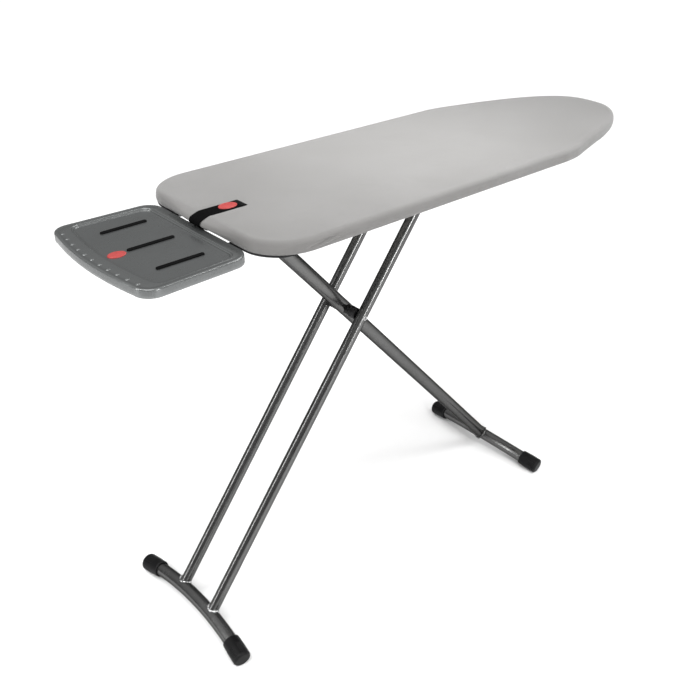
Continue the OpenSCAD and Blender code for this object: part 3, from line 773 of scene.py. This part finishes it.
# ------------------------------------------------------------------ webbing strap over the tail
def strap_surface():
    """centre line of the strap: x, z, and its outward normal, from the free end on top to the hook below"""
    base = []
    x_end = XT + 0.096
    for k in range(0, 25):
        x = x_end + (XT + 0.0115 - x_end) * k / 24
        base.append((x, top_z(x, 0, 0.05), 0.0, 1.0))
    R1 = 0.0115
    for k in range(1, 9):
        a = (pi / 2) * k / 8
        base.append((XT + R1 * (1 - sin(a)) - 0.0006, ZT - 0.0006 - R1 * 0.92 * (1 - cos(a)) - 0.0006, -sin(a), cos(a)))
    for dz in (0.014, 0.017, 0.020):
        base.append((XT - 0.0012, ZT - dz, -1, 0))
    R2 = 0.005
    for k in range(1, 7):
        a = (pi / 2) * k / 6
        base.append((XT + R2 * (1 - cos(a)) - 0.0010, ZT - 0.0219 - R2 * sin(a), -cos(a), -sin(a)))
    for k in range(1, 9):
        base.append((XT + 0.005 + 0.029 * k / 8, ZT - 0.0271, 0, -1))
    # draw it out over the bulge of the tail, then take the outward direction from the path itself
    path = [(x - tail_bulge(x, 0, max(0.0, ZT - 0.0006 - z)) - (0.0008 if 0.004 < ZT - z < 0.0235 else 0.0), z) for (x, z, _, _) in base]
    out = []
    for i, (x, z) in enumerate(path):
        a, b = path[max(0, i - 1)], path[min(len(path) - 1, i + 1)]
        tx, tz = b[0] - a[0], b[1] - a[1]
        ln = sqrt(tx * tx + tz * tz) or 1.0
        out.append((x, z, tz / ln, -tx / ln))
    return out


def strap_piece():
    sec = []
    half, t, r = 0.0175, 0.00125, 0.0006
    # cross-section: rounded selvedges
    n = 14
    prof = []
    for k in range(n + 1): prof.append((-half + r + (2 * half - 2 * r) * k / n, t))
    prof += [(half - r * 0.3, t * 0.85), (half, t * 0.5), (half - r * 0.3, t * 0.15)]
    for k in range(n + 1): prof.append((half - r - (2 * half - 2 * r) * k / n, 0.0))
    prof += [(-half + r * 0.3, t * 0.15), (-half, t * 0.5), (-half + r * 0.3, t * 0.85)]
    verts, faces = [], []
    base = strap_surface()
    for bi, (x, z, nx_, nz_) in enumerate(base):
        for (y, h) in prof:
            wob = 0.0002 * sin(bi * 0.9) * (y / half)
            hh = h + 0.00025 + wob * 0.4
            verts.append(Vector((x + nx_ * hh, y - 0.002, z + nz_ * hh)))
    m = len(prof)
    for i in range(len(base) - 1):
        for k in range(m):
            a, b = i * m + k, i * m + (k + 1) % m
            faces.append((a, b, b + m, a + m))
    faces.append(tuple(range(m))); faces.append(tuple((len(base) - 1) * m + k for k in reversed(range(m))))
    return new_obj("tail_strap", verts, faces)


strap = put(edge_smooth(strap_piece(), 50), WEB)
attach(strap, "board"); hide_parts("tension_strap")
# bar-tack stitching across the strap's free end
st = []
for row in range(2):
    for k in range(16):
        y = -0.002 - 0.0145 + 0.029 * (k + 0.5) / 16
        x = XT + 0.0925 - 0.005 * row
        z = top_z(x, 0, 0.05) + 0.00155
        st.append(sweep("s", [(x, y - 0.00065, z), (x, y - 0.0003, z + 0.00018), (x, y + 0.0003, z + 0.00018), (x, y + 0.00065, z)], 0.00022, 6))
stitches = put(join("strap_stitches", st), moulded("strap_thread", (0.035, 0.035, 0.036), 0.6))
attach(stitches, "board")


def oval_badge(name, cx, cy, z, rx, ry, h):
    """a domed oval with a raised border; no lettering"""
    seg = 72
    prof = [(1.0, 0.0), (1.0, h * 0.45), (0.985, h * 0.68), (0.955, h * 0.80), (0.925, h * 0.80), (0.900, h * 0.66), (0.880, h * 0.62), (0.80, h * 0.70), (0.6, h * 0.86), (0.35, h * 0.96), (0.0, h)]
    verts, faces, rows = [], [], []
    for s, zz in prof:
        if s == 0:
            rows.append([len(verts)]); verts.append((cx, cy, z + zz)); continue
        rows.append(list(range(len(verts), len(verts) + seg)))
        for k in range(seg):
            a = 2 * pi * k / seg
            verts.append((cx + (rx * s) * cos(a), cy + (ry * s) * sin(a), z + zz))
    for A, B in zip(rows, rows[1:]):
        for k in range(seg):
            if len(B) == 1: faces.append((A[k], A[(k + 1) % seg], B[0]))
            else: faces.append((A[k], A[(k + 1) % seg], B[(k + 1) % seg], B[k]))
    faces.append(tuple(reversed(rows[0])))
    return edge_smooth(new_obj(name, verts, faces), 50)


z_st = top_z(XT + 0.063, 0, 0.05) + 0.0015
sb = put(oval_badge("strap_oval", XT + 0.063, -0.001, z_st, 0.0200, 0.0140, 0.0020), RED)
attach(sb, "board"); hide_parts("strap_badge")

# ------------------------------------------------------------------ dark edging under the tail, partly a real edging and partly a dark part standing in for the shade under the hem there
def dark_band_piece(sign):
    """a dark rounded bar that follows the tail's outline under the hem and thins out round the corner: partly an
    edging, partly painted shade where the hem's underside lies in shadow
    """
    pts = []
    for i in range(NR):
        p = inset(i, 0.0052)
        if p.y * sign > 0.092 and p.x < XT + 0.061: pts.append((p.y * sign, p, inset(i, 0.0012), i))
    pts.sort(key=lambda t: t[3] if t[3] < NR // 2 else t[3] - NR)
    verts, faces = [], []
    sec = [(-0.0038, 0.0), (-0.0030, -0.0009), (0.0030, -0.0009), (0.0038, 0.0), (0.0040, 0.0008), (0.0040, 0.0026), (0.0036, 0.0031), (-0.0036, 0.0031), (-0.0040, 0.0026), (-0.0040, 0.0008)]
    m_ = len(sec)
    for k, (_, p, q, i) in enumerate(pts):
        end = min(1.0, max(0.0, (XT + 0.061 - p.x) / 0.020))
        th = 0.35 + 0.65 * end * end * (3 - 2 * end)
        for (o, z) in sec:
            verts.append(Vector((p.x + NORM[i].x * o * -1, p.y + NORM[i].y * o * -1, Z_HEM - 0.0033 + (0.0031 - (0.0031 - z) * th))))
    for k in range(len(pts) - 1):
        for j in range(m_):
            a, b = k * m_ + j, k * m_ + (j + 1) % m_
            faces.append((a, b, b + m_, a + m_))
    faces.append(tuple(range(m_))); faces.append(tuple((len(pts) - 1) * m_ + j for j in range(m_)))
    return new_obj("trim", verts, faces)


# black bar under the tail hem: partly edging, partly painted shade under the hem
trim = put(edge_smooth(join("tail_edging_and_shade_band", [dark_band_piece(-1), dark_band_piece(1)]), 40), PLASTIC)
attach(trim, "board"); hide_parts("tail_trim")

# ------------------------------------------------------------------ iron rest
RX0, RX1, RHW, RBOW = XT - REACH, XT - 0.002, 0.175, 0.020
Z_RIM, Z_PAN, SKIRT = ZT - 0.025, ZT - 0.0298, 0.017
KC, KS = 12, 26


def loop4(x0, x1, hw, c_in, c_out, bow, tin):
    """a closed loop with the same count of points for every inset: outer side bowed, four round corners"""
    out = []
    def bx(y): return x0 + bow * (y / RHW) ** 2
    # inner side, y from - to +
    hi = hw - tin
    for k in range(KS): out.append(Vector((x1, -(hi - c_in) + 2 * (hi - c_in) * k / KS)))
    for k in range(KC):
        a = (pi / 2) * k / KC
        out.append(Vector((x1 - c_in + c_in * cos(a), hi - c_in + c_in * sin(a))))
    xc = bx(hw - c_out) + c_out
    for k in range(KS): out.append(Vector((x1 - c_in + (xc - (x1 - c_in)) * k / KS, hi + tin * k / KS)))
    for k in range(KC):
        a = (pi / 2) * k / KC
        out.append(Vector((xc - c_out * sin(a), hw - c_out + c_out * cos(a))))
    for k in range(KS):
        y = (hw - c_out) * (1 - 2 * k / KS)
        out.append(Vector((bx(y), y)))
    for k in range(KC):
        a = (pi / 2) * k / KC
        out.append(Vector((xc - c_out * cos(a), -(hw - c_out) - c_out * sin(a))))
    for k in range(KS): out.append(Vector((xc + (x1 - c_in - xc) * k / KS, -hw + tin * k / KS)))
    for k in range(KC):
        a = (pi / 2) * k / KC
        out.append(Vector((x1 - c_in + c_in * sin(a), -hi + c_in - c_in * cos(a))))
    return out


def rim_loop(d): return loop4(RX0 + d, RX1 - d, RHW - d, max(0.006, 0.036 - d), max(0.012, 0.034 - d), RBOW, 0.006)
def pan_loop(d): return loop4(RX0 + 0.036 + d, RX1 - 0.026 - d, RHW - 0.020 - d, max(0.008, 0.018 - d), max(0.008, 0.020 - d), RBOW, 0.005)


rings = []
def ring(lp, z): rings.append([Vector((p.x, p.y, z)) for p in lp])
ring(rim_loop(0.0016), Z_RIM - SKIRT + 0.0002)
ring(rim_loop(0.0004), Z_RIM - SKIRT)
ring(rim_loop(0.0000), Z_RIM - SKIRT + 0.0008)
ring(rim_loop(0.0000), Z_RIM - SKIRT + 0.006)
ring(rim_loop(0.0001), Z_RIM - 0.0042)
R = 0.0030
for k in range(0, 7):
    a = (pi / 2) * k / 6
    ring(rim_loop(0.0002 + R * (1 - cos(a))), Z_RIM - R + R * sin(a))
ring(rim_loop(0.0065), Z_RIM - 0.0002)
ring(rim_loop(0.0085), Z_RIM - 0.00055)
ring(rim_loop(0.0105), Z_RIM - 0.0005)
ring(rim_loop(0.0125), Z_RIM - 0.0002)
# a stepped wall down to the pan: an edge, a narrow ledge, a second edge, then the floor's fillet
for dd, zz in ((-0.0066, 0.0), (-0.0058, 0.0), (-0.0053, -0.0001), (-0.0049, -0.0004), (-0.0046, -0.0009), (-0.0043, -0.0014), (-0.0038, -0.0017),
               (-0.0030, -0.0018), (-0.0018, -0.0018), (-0.0012, -0.0019), (-0.0008, -0.0022), (-0.0005, -0.0027), (-0.0002, -0.0034), (0.0002, -0.0040),
               (0.0007, -0.0044), (0.0014, -0.0047), (0.0024, -0.0048)):
    ring(pan_loop(dd), Z_RIM + zz)
base = pan_loop(0.0075)
cx = (RX0 + 0.036 + RX1 - 0.026) / 2 + 0.004
ring(base, Z_PAN)
for s in (0.82, 0.62, 0.42, 0.22):
    rings.append([Vector((cx + (p.x - cx) * s, p.y * s, Z_PAN)) for p in base])
verts, faces = [], []
n = len(rings[0])
for r_ in rings: verts += r_
for i in range(len(rings) - 1):
    for k in range(n):
        a, b = i * n + k, i * n + (k + 1) % n
        faces.append((a, b, b + n, a + n))
c = len(verts); verts.append(Vector((cx, 0, Z_PAN)))
for k in range(n): faces.append(((len(rings) - 1) * n + k, (len(rings) - 1) * n + (k + 1) % n, c))
# the two support arms pass under the inner skirt
for v in verts:
    if v.x > RX1 - 0.004 and v.z < Z_PAN - 0.0020 and min(abs(v.y - 0.1), abs(v.y + 0.1)) < 0.0166:
        v.z = Z_PAN - 0.0012
# the sheet is never dead flat: a soft pressing waviness
for v in verts:
    v.z += 0.00018 * nz(v.x, v.y, 0, 13)
tray = new_obj("rest_pressing", verts, faces)
up = sum(p.normal.z * p.area for p in tray.data.polygons)
if up < 0:
    bm = bmesh.new(); bm.from_mesh(tray.data); bmesh.ops.reverse_faces(bm, faces=bm.faces); bm.to_mesh(tray.data); bm.free()
m = tray.modifiers.new("t", "SOLIDIFY"); m.thickness = 0.0011; m.offset = -1
apply_mods(tray)
domes = []
for i in range(-5, 6):
    y = 0.0274 * i
    x = RX0 + RBOW * (y / RHW) ** 2 + 0.0130
    domes.append(lathe("d", [(-0.0006, 0.0046), (0.0000, 0.0042), (0.0005, 0.0034), (0.0010, 0.0024), (0.0013, 0.0012), (0.0014, 0.0)], (x, y, Z_RIM - 0.0002), (0, 0, 1), 24))
tray = put(edge_smooth(join("iron_rest_pressing", [tray] + domes), 40), TRAY)
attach(tray, "board"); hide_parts("rest_tray")


def strip_piece(name, y):
    """a silicone strip with round ends and a soft crowned top"""
    x0, ln, r = RX0 + 0.081, 0.098, 0.00425
    lp = []
    for k in range(17):
        a = -pi / 2 + pi * k / 16
        lp.append((x0 + ln - r + r * cos(a), r * sin(a)))
    for k in range(17):
        a = pi / 2 + pi * k / 16
        lp.append((x0 + r + r * cos(a), r * sin(a)))
    cxs = x0 + ln / 2
    verts, faces = [], []
    prof = [(1.0, -0.0003), (1.0, 0.0016), (0.96, 0.0023), (0.86, 0.0028), (0.62, 0.0031), (0.25, 0.0032)]
    for s, z in prof:
        for (x, yy) in lp:
            # shrink towards the centre line, not the middle
            xx = min(max(x, x0 + r), x0 + ln - r)
            verts.append((xx + (x - xx) * s, y + yy * s, Z_PAN + z))
    n = len(lp)
    for i in range(len(prof) - 1):
        for k in range(n):
            a, b = i * n + k, i * n + (k + 1) % n
            faces.append((a, b, b + n, a + n))
    faces.append(tuple((len(prof) - 1) * n + k for k in range(n)))
    faces.append(tuple(reversed(range(n))))
    ring_v, ring_f = [], []
    return edge_smooth(new_obj(name, verts, faces), 55)


for nm, y in (("front", -0.1), ("middle", 0.0), ("rear", 0.1)):
    s = put(strip_piece("silicone_strip_" + nm, y), SILICONE)
    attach(s, "board"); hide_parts("rest_strip_" + nm)
rb = put(oval_badge("rest_oval", RX0 + 0.059, -0.003, Z_PAN, 0.0180, 0.0130, 0.0018), RED)
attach(rb, "board"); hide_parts("rest_badge")

# ------------------------------------------------------------------ legs
SX = 0.1185
PIV = Vector((-0.1405, 0, 0.654))
AL, BE = radians(53.3166), radians(48.3659)
UO, VO = Vector((cos(AL), 0, sin(AL))), Vector((-sin(AL), 0, cos(AL)))
UI, VI = Vector((-cos(BE), 0, sin(BE))), Vector((-sin(BE), 0, -cos(BE)))
FR, RISE, Y = 0.86281, 0.0235, Vector((0, 1, 0))
LEN_O, LEN_I, UPI, UPO = 0.79253, 0.85033, 0.33984, 0.33028


def foot_at(U, ln, y):
    """centre of the arched foot tube and its tangent at y"""
    ph = asin(y / FR)
    return PIV + U * (-ln + RISE - FR + FR * cos(ph)) + Y * y, (U * -sin(ph) + Y * cos(ph)).normalized()


def tube(name, p0, p1, r, mat, body, slot, node, n=40, wall=0.0015, open_end=False, seg=48, ripple=0.00001):
    """a straight drawn tube with a rolled mouth at its far end"""
    p0, p1 = Vector(p0), Vector(p1)
    ax = (p1 - p0).normalized(); ln = (p1 - p0).length
    prof = [(0, r - wall), (0, r - 0.0001)]
    for k in range(n + 1): prof.append((0.001 + (ln - 0.0022) * k / n, r + ripple * sin(k * 2.1)))
    prof += [(ln - 0.0005, r - 0.0003), (ln, r - 0.0009)]
    if open_end: prof += [(ln, r - wall), (ln - 0.03, r - wall)]
    else: prof += [(ln, 0)]
    return edge_smooth(lathe(name, prof, p0, ax, seg, Y), 45)


def foot_bar(name, U, ln):
    pts = []
    n = 72
    for k in range(n + 1):
        y = -0.192 + 0.384 * k / n
        pts.append(foot_at(U, ln, y)[0])
    return edge_smooth(sweep(name, pts, 0.016, 48, True, U), 50)


def weld_bead(name, U, ln, y, r, seed):
    """the saddle where a leg tube meets the foot, as a laid bead: lumps that overlap like coins"""
    rnd = random.Random(seed)
    V = U.cross(Y).normalized()
    fr = 0.016
    n = 132
    loop = []
    for k in range(n):
        a = 2 * pi * k / n
        # a point on the leg tube where it meets the foot tube's surface
        yy, vv = y + r * cos(a), r * sin(a)
        c, t = foot_at(U, ln, yy)
        up = (U - t * U.dot(t)).normalized()
        h = sqrt(max(1e-9, fr * fr - vv * vv))
        p = c + up * h + V * vv
        out = (Y * cos(a) + V * sin(a)).normalized()
        # halfway direction between the tube's wall and the foot's surface
        nrm = (c + up * h + V * vv) - c
        nrm.normalize()
        bis = (out + nrm).normalized()
        loop.append((p, out, nrm, bis))
    verts, faces = [], []
    m = 12
    lump = [rnd.uniform(0.62, 1.45) for _ in range(40)]
    for k, (p, out, nrm, bis) in enumerate(loop):
        ph = 17 * k / n
        f = ph % 1; f = f * f * (3 - 2 * f)
        base = lump[int(ph) % 17] * (1 - f) + lump[(int(ph) + 1) % 17] * f
        coin = abs(sin(pi * ph)) ** 0.5
        size = (0.0024 if r < 0.014 else 0.0028) * base * (0.78 + 0.32 * coin)
        for j in range(m):
            b = -pi / 2 - 0.5 + (pi + 1.0) * j / (m - 1)
            # fillet fan between the two surfaces
            if j == 0: v = p + nrm * -0.0012 + out * size * 1.25
            elif j == m - 1: v = p + out * -0.0012 + U * size * 1.55
            else:
                s = (j / (m - 1))
                d = (out * cos(s * pi / 2) * 1.20 + U * sin(s * pi / 2) * 1.45)
                v = p + d * size * (0.86 + 0.14 * sin(s * pi)) + bis * 0.0002
            verts.append(v)
    for k in range(n):
        for j in range(m):
            a, b = k * m + j, k * m + (j + 1) % m
            c2, d2 = ((k + 1) % n) * m + (j + 1) % m, ((k + 1) % n) * m + j
            faces.append((a, b, c2, d2))
    ob = new_obj(name, verts, faces)
    bm = bmesh.new(); bm.from_mesh(ob.data); bmesh.ops.recalc_face_normals(bm, faces=bm.faces); bm.to_mesh(ob.data); bm.free()
    return ob


def foot_cap(name, U, ln, side):
    """a moulded foot: ribbed grip band, stepped mouth, rounded end, flat worn on the floor"""
    c, t = foot_at(U, ln, 0.171 * side)
    ax = t * side
    rc, re = 0.0211, 0.0062
    def rr(t): return 0.0198 + (rc - 0.0198) * min(1, max(0, (t + 0.0275) / 0.030))
    prof = [(-0.0235, 0.0166), (-0.0240, 0.0170), (-0.0240, 0.0190), (-0.0238, 0.0195), (-0.0233, 0.0198)]
    for k in range(0, 30): prof.append((-0.0225 + 0.0485 * k / 29, rr(-0.0225 + 0.0485 * k / 29)))
    for k in range(1, 11):
        a = (pi / 2) * k / 10
        prof.append((0.0260 + re * sin(a), rc - re + re * cos(a)))
    for k in range(1, 5): prof.append((0.0322 + 0.0003 * sin(k * pi / 8), (rc - re) * (1 - k / 4)))
    seg = 360
    ob = lathe(name, prof, c, ax, seg, U)
    bm = bmesh.new(); bm.from_mesh(ob.data)
    q = ax.cross(U).normalized()
    ref = (U - ax * U.dot(ax)).normalized()
    for v in bm.verts:
        d = v.co - c
        s = d.dot(ax); rad = d - ax * s
        r = rad.length
        if r < 0.012: continue
        a = math.atan2(rad.dot(ax.cross(ref)), rad.dot(ref))
        # groups of four short grooves round the outer half
        cut = 0.0
        if -0.002 < s < 0.0270:
            w = min(1, (s + 0.002) / 0.0018) * min(1, (0.0270 - s) / 0.0018)
            per = 2 * pi / 5
            aa = ((a + per / 2 - 0.32) % per) - per / 2
            for g in range(4):
                x = (aa - (g - 1.5) * 0.190) / 0.034
                cut += max(0.0, 1 - abs(x) ** 1.5) * w
        if cut > 0.001: v.co -= rad.normalized() * 0.0017 * min(1, cut)
        if v.co.z < 0: v.co.z = 0.0
    bm.normal_update(); bm.to_mesh(ob.data); bm.free()
    return edge_smooth(ob, 60)


# inner leg: one fat tube
p_bot = PIV + UI * (-LEN_I + RISE + 0.0035)
leg = tube("inner_leg_main", p_bot, PIV + UI * (UPI + 0.016), 0.0165, LEG, "inner_leg", "leg_paint", "", 60)
put(leg, LEG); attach(leg, "inner_leg"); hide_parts("inner_leg_tube")
fb = put(foot_bar("inner_foot_bar", UI, LEN_I), LEG)
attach(fb, "inner_leg"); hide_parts("inner_foot_tube")
w = put(weld_bead("inner_foot_bead", UI, LEN_I, 0.0, 0.0165, 5), LEG)
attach(w, "inner_leg"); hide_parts("inner_foot_weld")
for side, nm in ((-1, "front"), (1, "rear")):
    cp = put(foot_cap("inner_foot_cap_" + nm, UI, LEN_I, side), RUBBER)
    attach(cp, "inner_leg"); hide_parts("inner_cap_" + nm)

# outer leg: two thin tubes
OYC = 0.0589
for side, nm in ((-1, "front"), (1, "rear")):
    y = OYC * side
    drop = RISE * (1 - (y / 0.2) ** 2)
    p0 = PIV + UO * (-LEN_O + drop + 0.0045) + Y * y
    p1 = PIV + UO * (UPO + 0.012) + Y * y
    leg = tube("outer_leg_" + nm, p0, p1, 0.0125, LEG, "outer_leg", "leg_paint", "", 60)
    put(leg, LEG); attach(leg, "outer_leg"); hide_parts("outer_leg_tube_" + nm)
    cp = put(foot_cap("outer_foot_cap_" + nm, UO, LEN_O, side), RUBBER)
    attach(cp, "outer_leg"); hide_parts("outer_cap_" + nm)
fb = put(foot_bar("outer_foot_bar", UO, LEN_O), LEG)
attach(fb, "outer_leg"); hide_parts("outer_foot_tube")
w = put(join("outer_foot_beads", [weld_bead("wa", UO, LEN_O, -OYC, 0.0125, 11), weld_bead("wb", UO, LEN_O, OYC, 0.0125, 23)]), WELD)
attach(w, "outer_leg"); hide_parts("outer_foot_welds")

# tubular rivet with a rolled lip
parts = []
for side in (-1, 1):
    y0 = (OYC + 0.0125) * side
    prof = [(-0.0100, 0.0), (-0.0098, 0.0026), (-0.0005, 0.0027), (0.0001, 0.0029), (0.0006, 0.0034), (0.0007, 0.0039), (0.0004, 0.0044), (-0.0003, 0.0048), (-0.0022, 0.0049), (-0.0026, 0.0040), (-0.0714, 0.0040)]
    parts.append(lathe("rv", prof, PIV + Y * y0, Y * side, 48, UO))
rv = edge_smooth(join("pivot_rivet_body", parts), 50)
put(rv, STEEL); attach(rv, "outer_leg"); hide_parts("pivot_rivet")

# spacers: moulded collars with a chamfer and a parting bead
parts = []
for side in (-1, 1):
    prof = [(0.0060, 0.0100), (0.0060, 0.0128), (0.0068, 0.0134), (0.0120, 0.0135), (0.0255, 0.0135), (0.0258, 0.01375), (0.0268, 0.01375), (0.0271, 0.0135), (0.0452, 0.0135), (0.0459, 0.0130), (0.0460, 0.0122), (0.0460, 0.0042), (0.0430, 0.0041)]
    parts.append(lathe("sp", prof, PIV, Y * side, 64, UI))
sp = put(edge_smooth(join("spacer_collars", parts), 45), PLASTIC)
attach(sp, "inner_leg"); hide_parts("pivot_spacers")


def domed_plug(name, p, ax, r, collar):
    prof = [(-0.004, r - 0.0018), (-0.0002, r - 0.0018), (0.0, r - 0.0001), (0.0006, r), (collar - 0.0009, r), (collar - 0.0003, r - 0.0004), (collar, r - 0.0012)]
    for k in range(1, 6): prof.append((collar + 0.0004 * sin(k * pi / 10), (r - 0.0012) * (1 - k / 5)))
    return edge_smooth(lathe(name, prof, p, ax, 56, Y), 50)


pl = put(domed_plug("inner_plug", PIV + UI * (UPI + 0.0160), UI, 0.0165, 0.0024), PLASTIC)
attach(pl, "inner_leg"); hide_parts("inner_leg_plug")
pl = put(join("outer_plugs", [domed_plug("a", PIV + UO * (UPO + 0.012) + Y * OYC * s, UO, 0.0125, 0.0024) for s in (-1, 1)]), PLASTIC)
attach(pl, "outer_leg"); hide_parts("outer_leg_plugs")

# ------------------------------------------------------------------ sponge grip of the release lever
prof = []
gx0, gx1, gr = 0.002 + SX, 0.098 + SX, 0.0070
prof += [(0.0, 0.0027), (0.0, 0.0050), (0.0004, 0.0060), (0.0014, 0.0067)]
for k in range(41):
    s = k / 40
    prof.append((0.0022 + (gx1 - gx0 - 0.0044) * s, gr - 0.00022 * (0.5 + 0.5 * cos(2 * pi * 16 * s))))
ln = gx1 - gx0
prof += [(ln - 0.0014, 0.0067), (ln - 0.0004, 0.0060), (ln, 0.0050), (ln, 0.0027)]
grip = put(edge_smooth(lathe("lever_grip", prof, (gx0, 0.188, 0.931), (1, 0, 0), 48), 60), PLASTIC)
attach(grip, "release_lever"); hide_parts("release_grip")

# ------------------------------------------------------------------ what stays from the CAD, with its finish
for node in ("cross_member_tail", "cross_member_hinge", "cross_member_rail_a", "cross_member_rail_b", "cross_member_nose",
             "rest_support_front", "rest_support_rear"):
    coat(node, GREYP)
for node in ("height_rail_front", "height_rail_rear", "hinge_bracket", "lever_brackets", "hook_bracket", "crossbar_lugs"):
    coat(node, ZINC)
for node in ("rail_rivets", "hinge_pin", "rest_screws", "lever_spring", "release_lever", "hook_pin", "crossbar"):
    coat(node, STEEL)
for node in ("strap_hook", "transport_hook", "crossbar_caps"):
    coat(node, PLASTIC)

# ------------------------------------------------------------------ floor, light, camera
floor = new_obj("floor", [(-14, -9, 0), (14, -9, 0), (14, 16, 0), (-14, 16, 0)], [(0, 1, 2, 3)], False)
F = Mat("floor_paper", (0.90, 0.90, 0.90), 0.85, Specular_IOR_Level=0.15)
F.color(F.ramp(F.noise(3, 3, 0.5), [(0.3, (0.895, 0.895, 0.895)), (0.7, (0.91, 0.91, 0.91))]))
F.bump(F.noise(400, 2, 0.5), 0.00003, 0.2)
floor.data.materials.append(F.m)

world = bpy.data.worlds.new("studio")
bpy.context.scene.world = world
world.use_nodes = True
wn = world.node_tree
wn.nodes.clear()
wo = wn.nodes.new("ShaderNodeOutputWorld")
wb = wn.nodes.new("ShaderNodeBackground")
tc = wn.nodes.new("ShaderNodeTexCoord")
sp_ = wn.nodes.new("ShaderNodeSeparateXYZ")
rp = wn.nodes.new("ShaderNodeValToRGB")
mr = wn.nodes.new("ShaderNodeMapRange")
wn.links.new(tc.outputs["Generated"], sp_.inputs[0])
wn.links.new(sp_.outputs["Z"], mr.inputs[0])
mr.inputs["From Min"].default_value = -0.2
mr.inputs["From Max"].default_value = 1.0
wn.links.new(mr.outputs[0], rp.inputs[0])
e = rp.color_ramp.elements
e[0].position, e[0].color = 0.10, (0.10, 0.10, 0.10, 1)
e[1].position, e[1].color = 0.85, (0.80, 0.80, 0.80, 1)
e.new(0.38).color = (0.20, 0.20, 0.20, 1)
wn.links.new(rp.outputs[0], wb.inputs[0])
wb.inputs[1].default_value = 0.9
wn.links.new(wb.outputs[0], wo.inputs[0])


def area_light(name, loc, target, sx, sy, power, color=(1, 1, 1)):
    ld = bpy.data.lights.new(name, "AREA")
    ld.shape, ld.size, ld.size_y, ld.energy, ld.color = "RECTANGLE", sx, sy, power, color
    ob = bpy.data.objects.new(name, ld)
    bpy.context.scene.collection.objects.link(ob)
    loc, target = Vector(loc), Vector(target)
    z = (loc - target).normalized()
    x = Vector((0, 0, 1)).cross(z).normalized()
    y = z.cross(x)
    ob.matrix_world = Matrix(((x.x, y.x, z.x, loc.x), (x.y, y.y, z.y, loc.y), (x.z, y.z, z.z, loc.z), (0, 0, 0, 1)))
    ob.visible_camera = False
    return ob


def sun(name, az, el, power, spread):
    """soft light from a wide patch of ceiling: az measured from +X, el above the floor"""
    ld = bpy.data.lights.new(name, "SUN")
    ld.energy, ld.angle = power, radians(spread)
    ob = bpy.data.objects.new(name, ld)
    bpy.context.scene.collection.objects.link(ob)
    z = Vector((cos(radians(el)) * cos(radians(az)), cos(radians(el)) * sin(radians(az)), sin(radians(el))))
    x = Vector((0, 0, 1)).cross(z).normalized()
    y = z.cross(x)
    ob.matrix_world = Matrix(((x.x, y.x, z.x, z.x * 5), (x.y, y.y, z.y, z.y * 5), (x.z, y.z, z.z, z.z * 5), (0, 0, 0, 1)))
    return ob


sun("ceiling", -150, 66, 2.25, 46)
area_light("over", (0.10, 0.02, 1.46), (0.10, 0, 0.5), 0.5, 0.5, 4.3)
area_light("strip", (-2.4, 0.7, 1.75), (-0.1, 0, 0.45), 0.26, 3.0, 34)
area_light("side", (-0.3, -3.1, 1.5), (0.1, 0, 0.5), 0.26, 2.0, 50)
area_light("edge", (1.30, -1.55, 2.95), (-0.62, -0.1, 0.94), 0.16, 2.2, 24)
bpy.context.scene.view_settings.view_transform = "Standard"

cam = bpy.data.objects.new("camera", bpy.data.cameras.new("camera"))
bpy.context.scene.collection.objects.link(cam)
cam.data.lens, cam.data.sensor_width = 45.27, 36.0
cam.data.clip_start, cam.data.clip_end = 0.05, 100
yaw, pitch, roll = radians(41.6073), radians(30.7963), radians(0.3063)
d = Vector((sin(yaw) * cos(pitch), cos(yaw) * cos(pitch), -sin(pitch)))
rt = d.cross(Vector((0, 0, 1))).normalized()
upv = rt.cross(d)
r2 = rt * cos(roll) + upv * sin(roll)
u2 = rt * -sin(roll) + upv * cos(roll)
cam.matrix_world = Matrix(((r2.x, u2.x, -d.x, -1.31616), (r2.y, u2.y, -d.y, -1.34406), (r2.z, u2.z, -d.z, 1.60441), (0, 0, 0, 1)))
bpy.context.scene.camera = cam

bpy.context.view_layer.update()
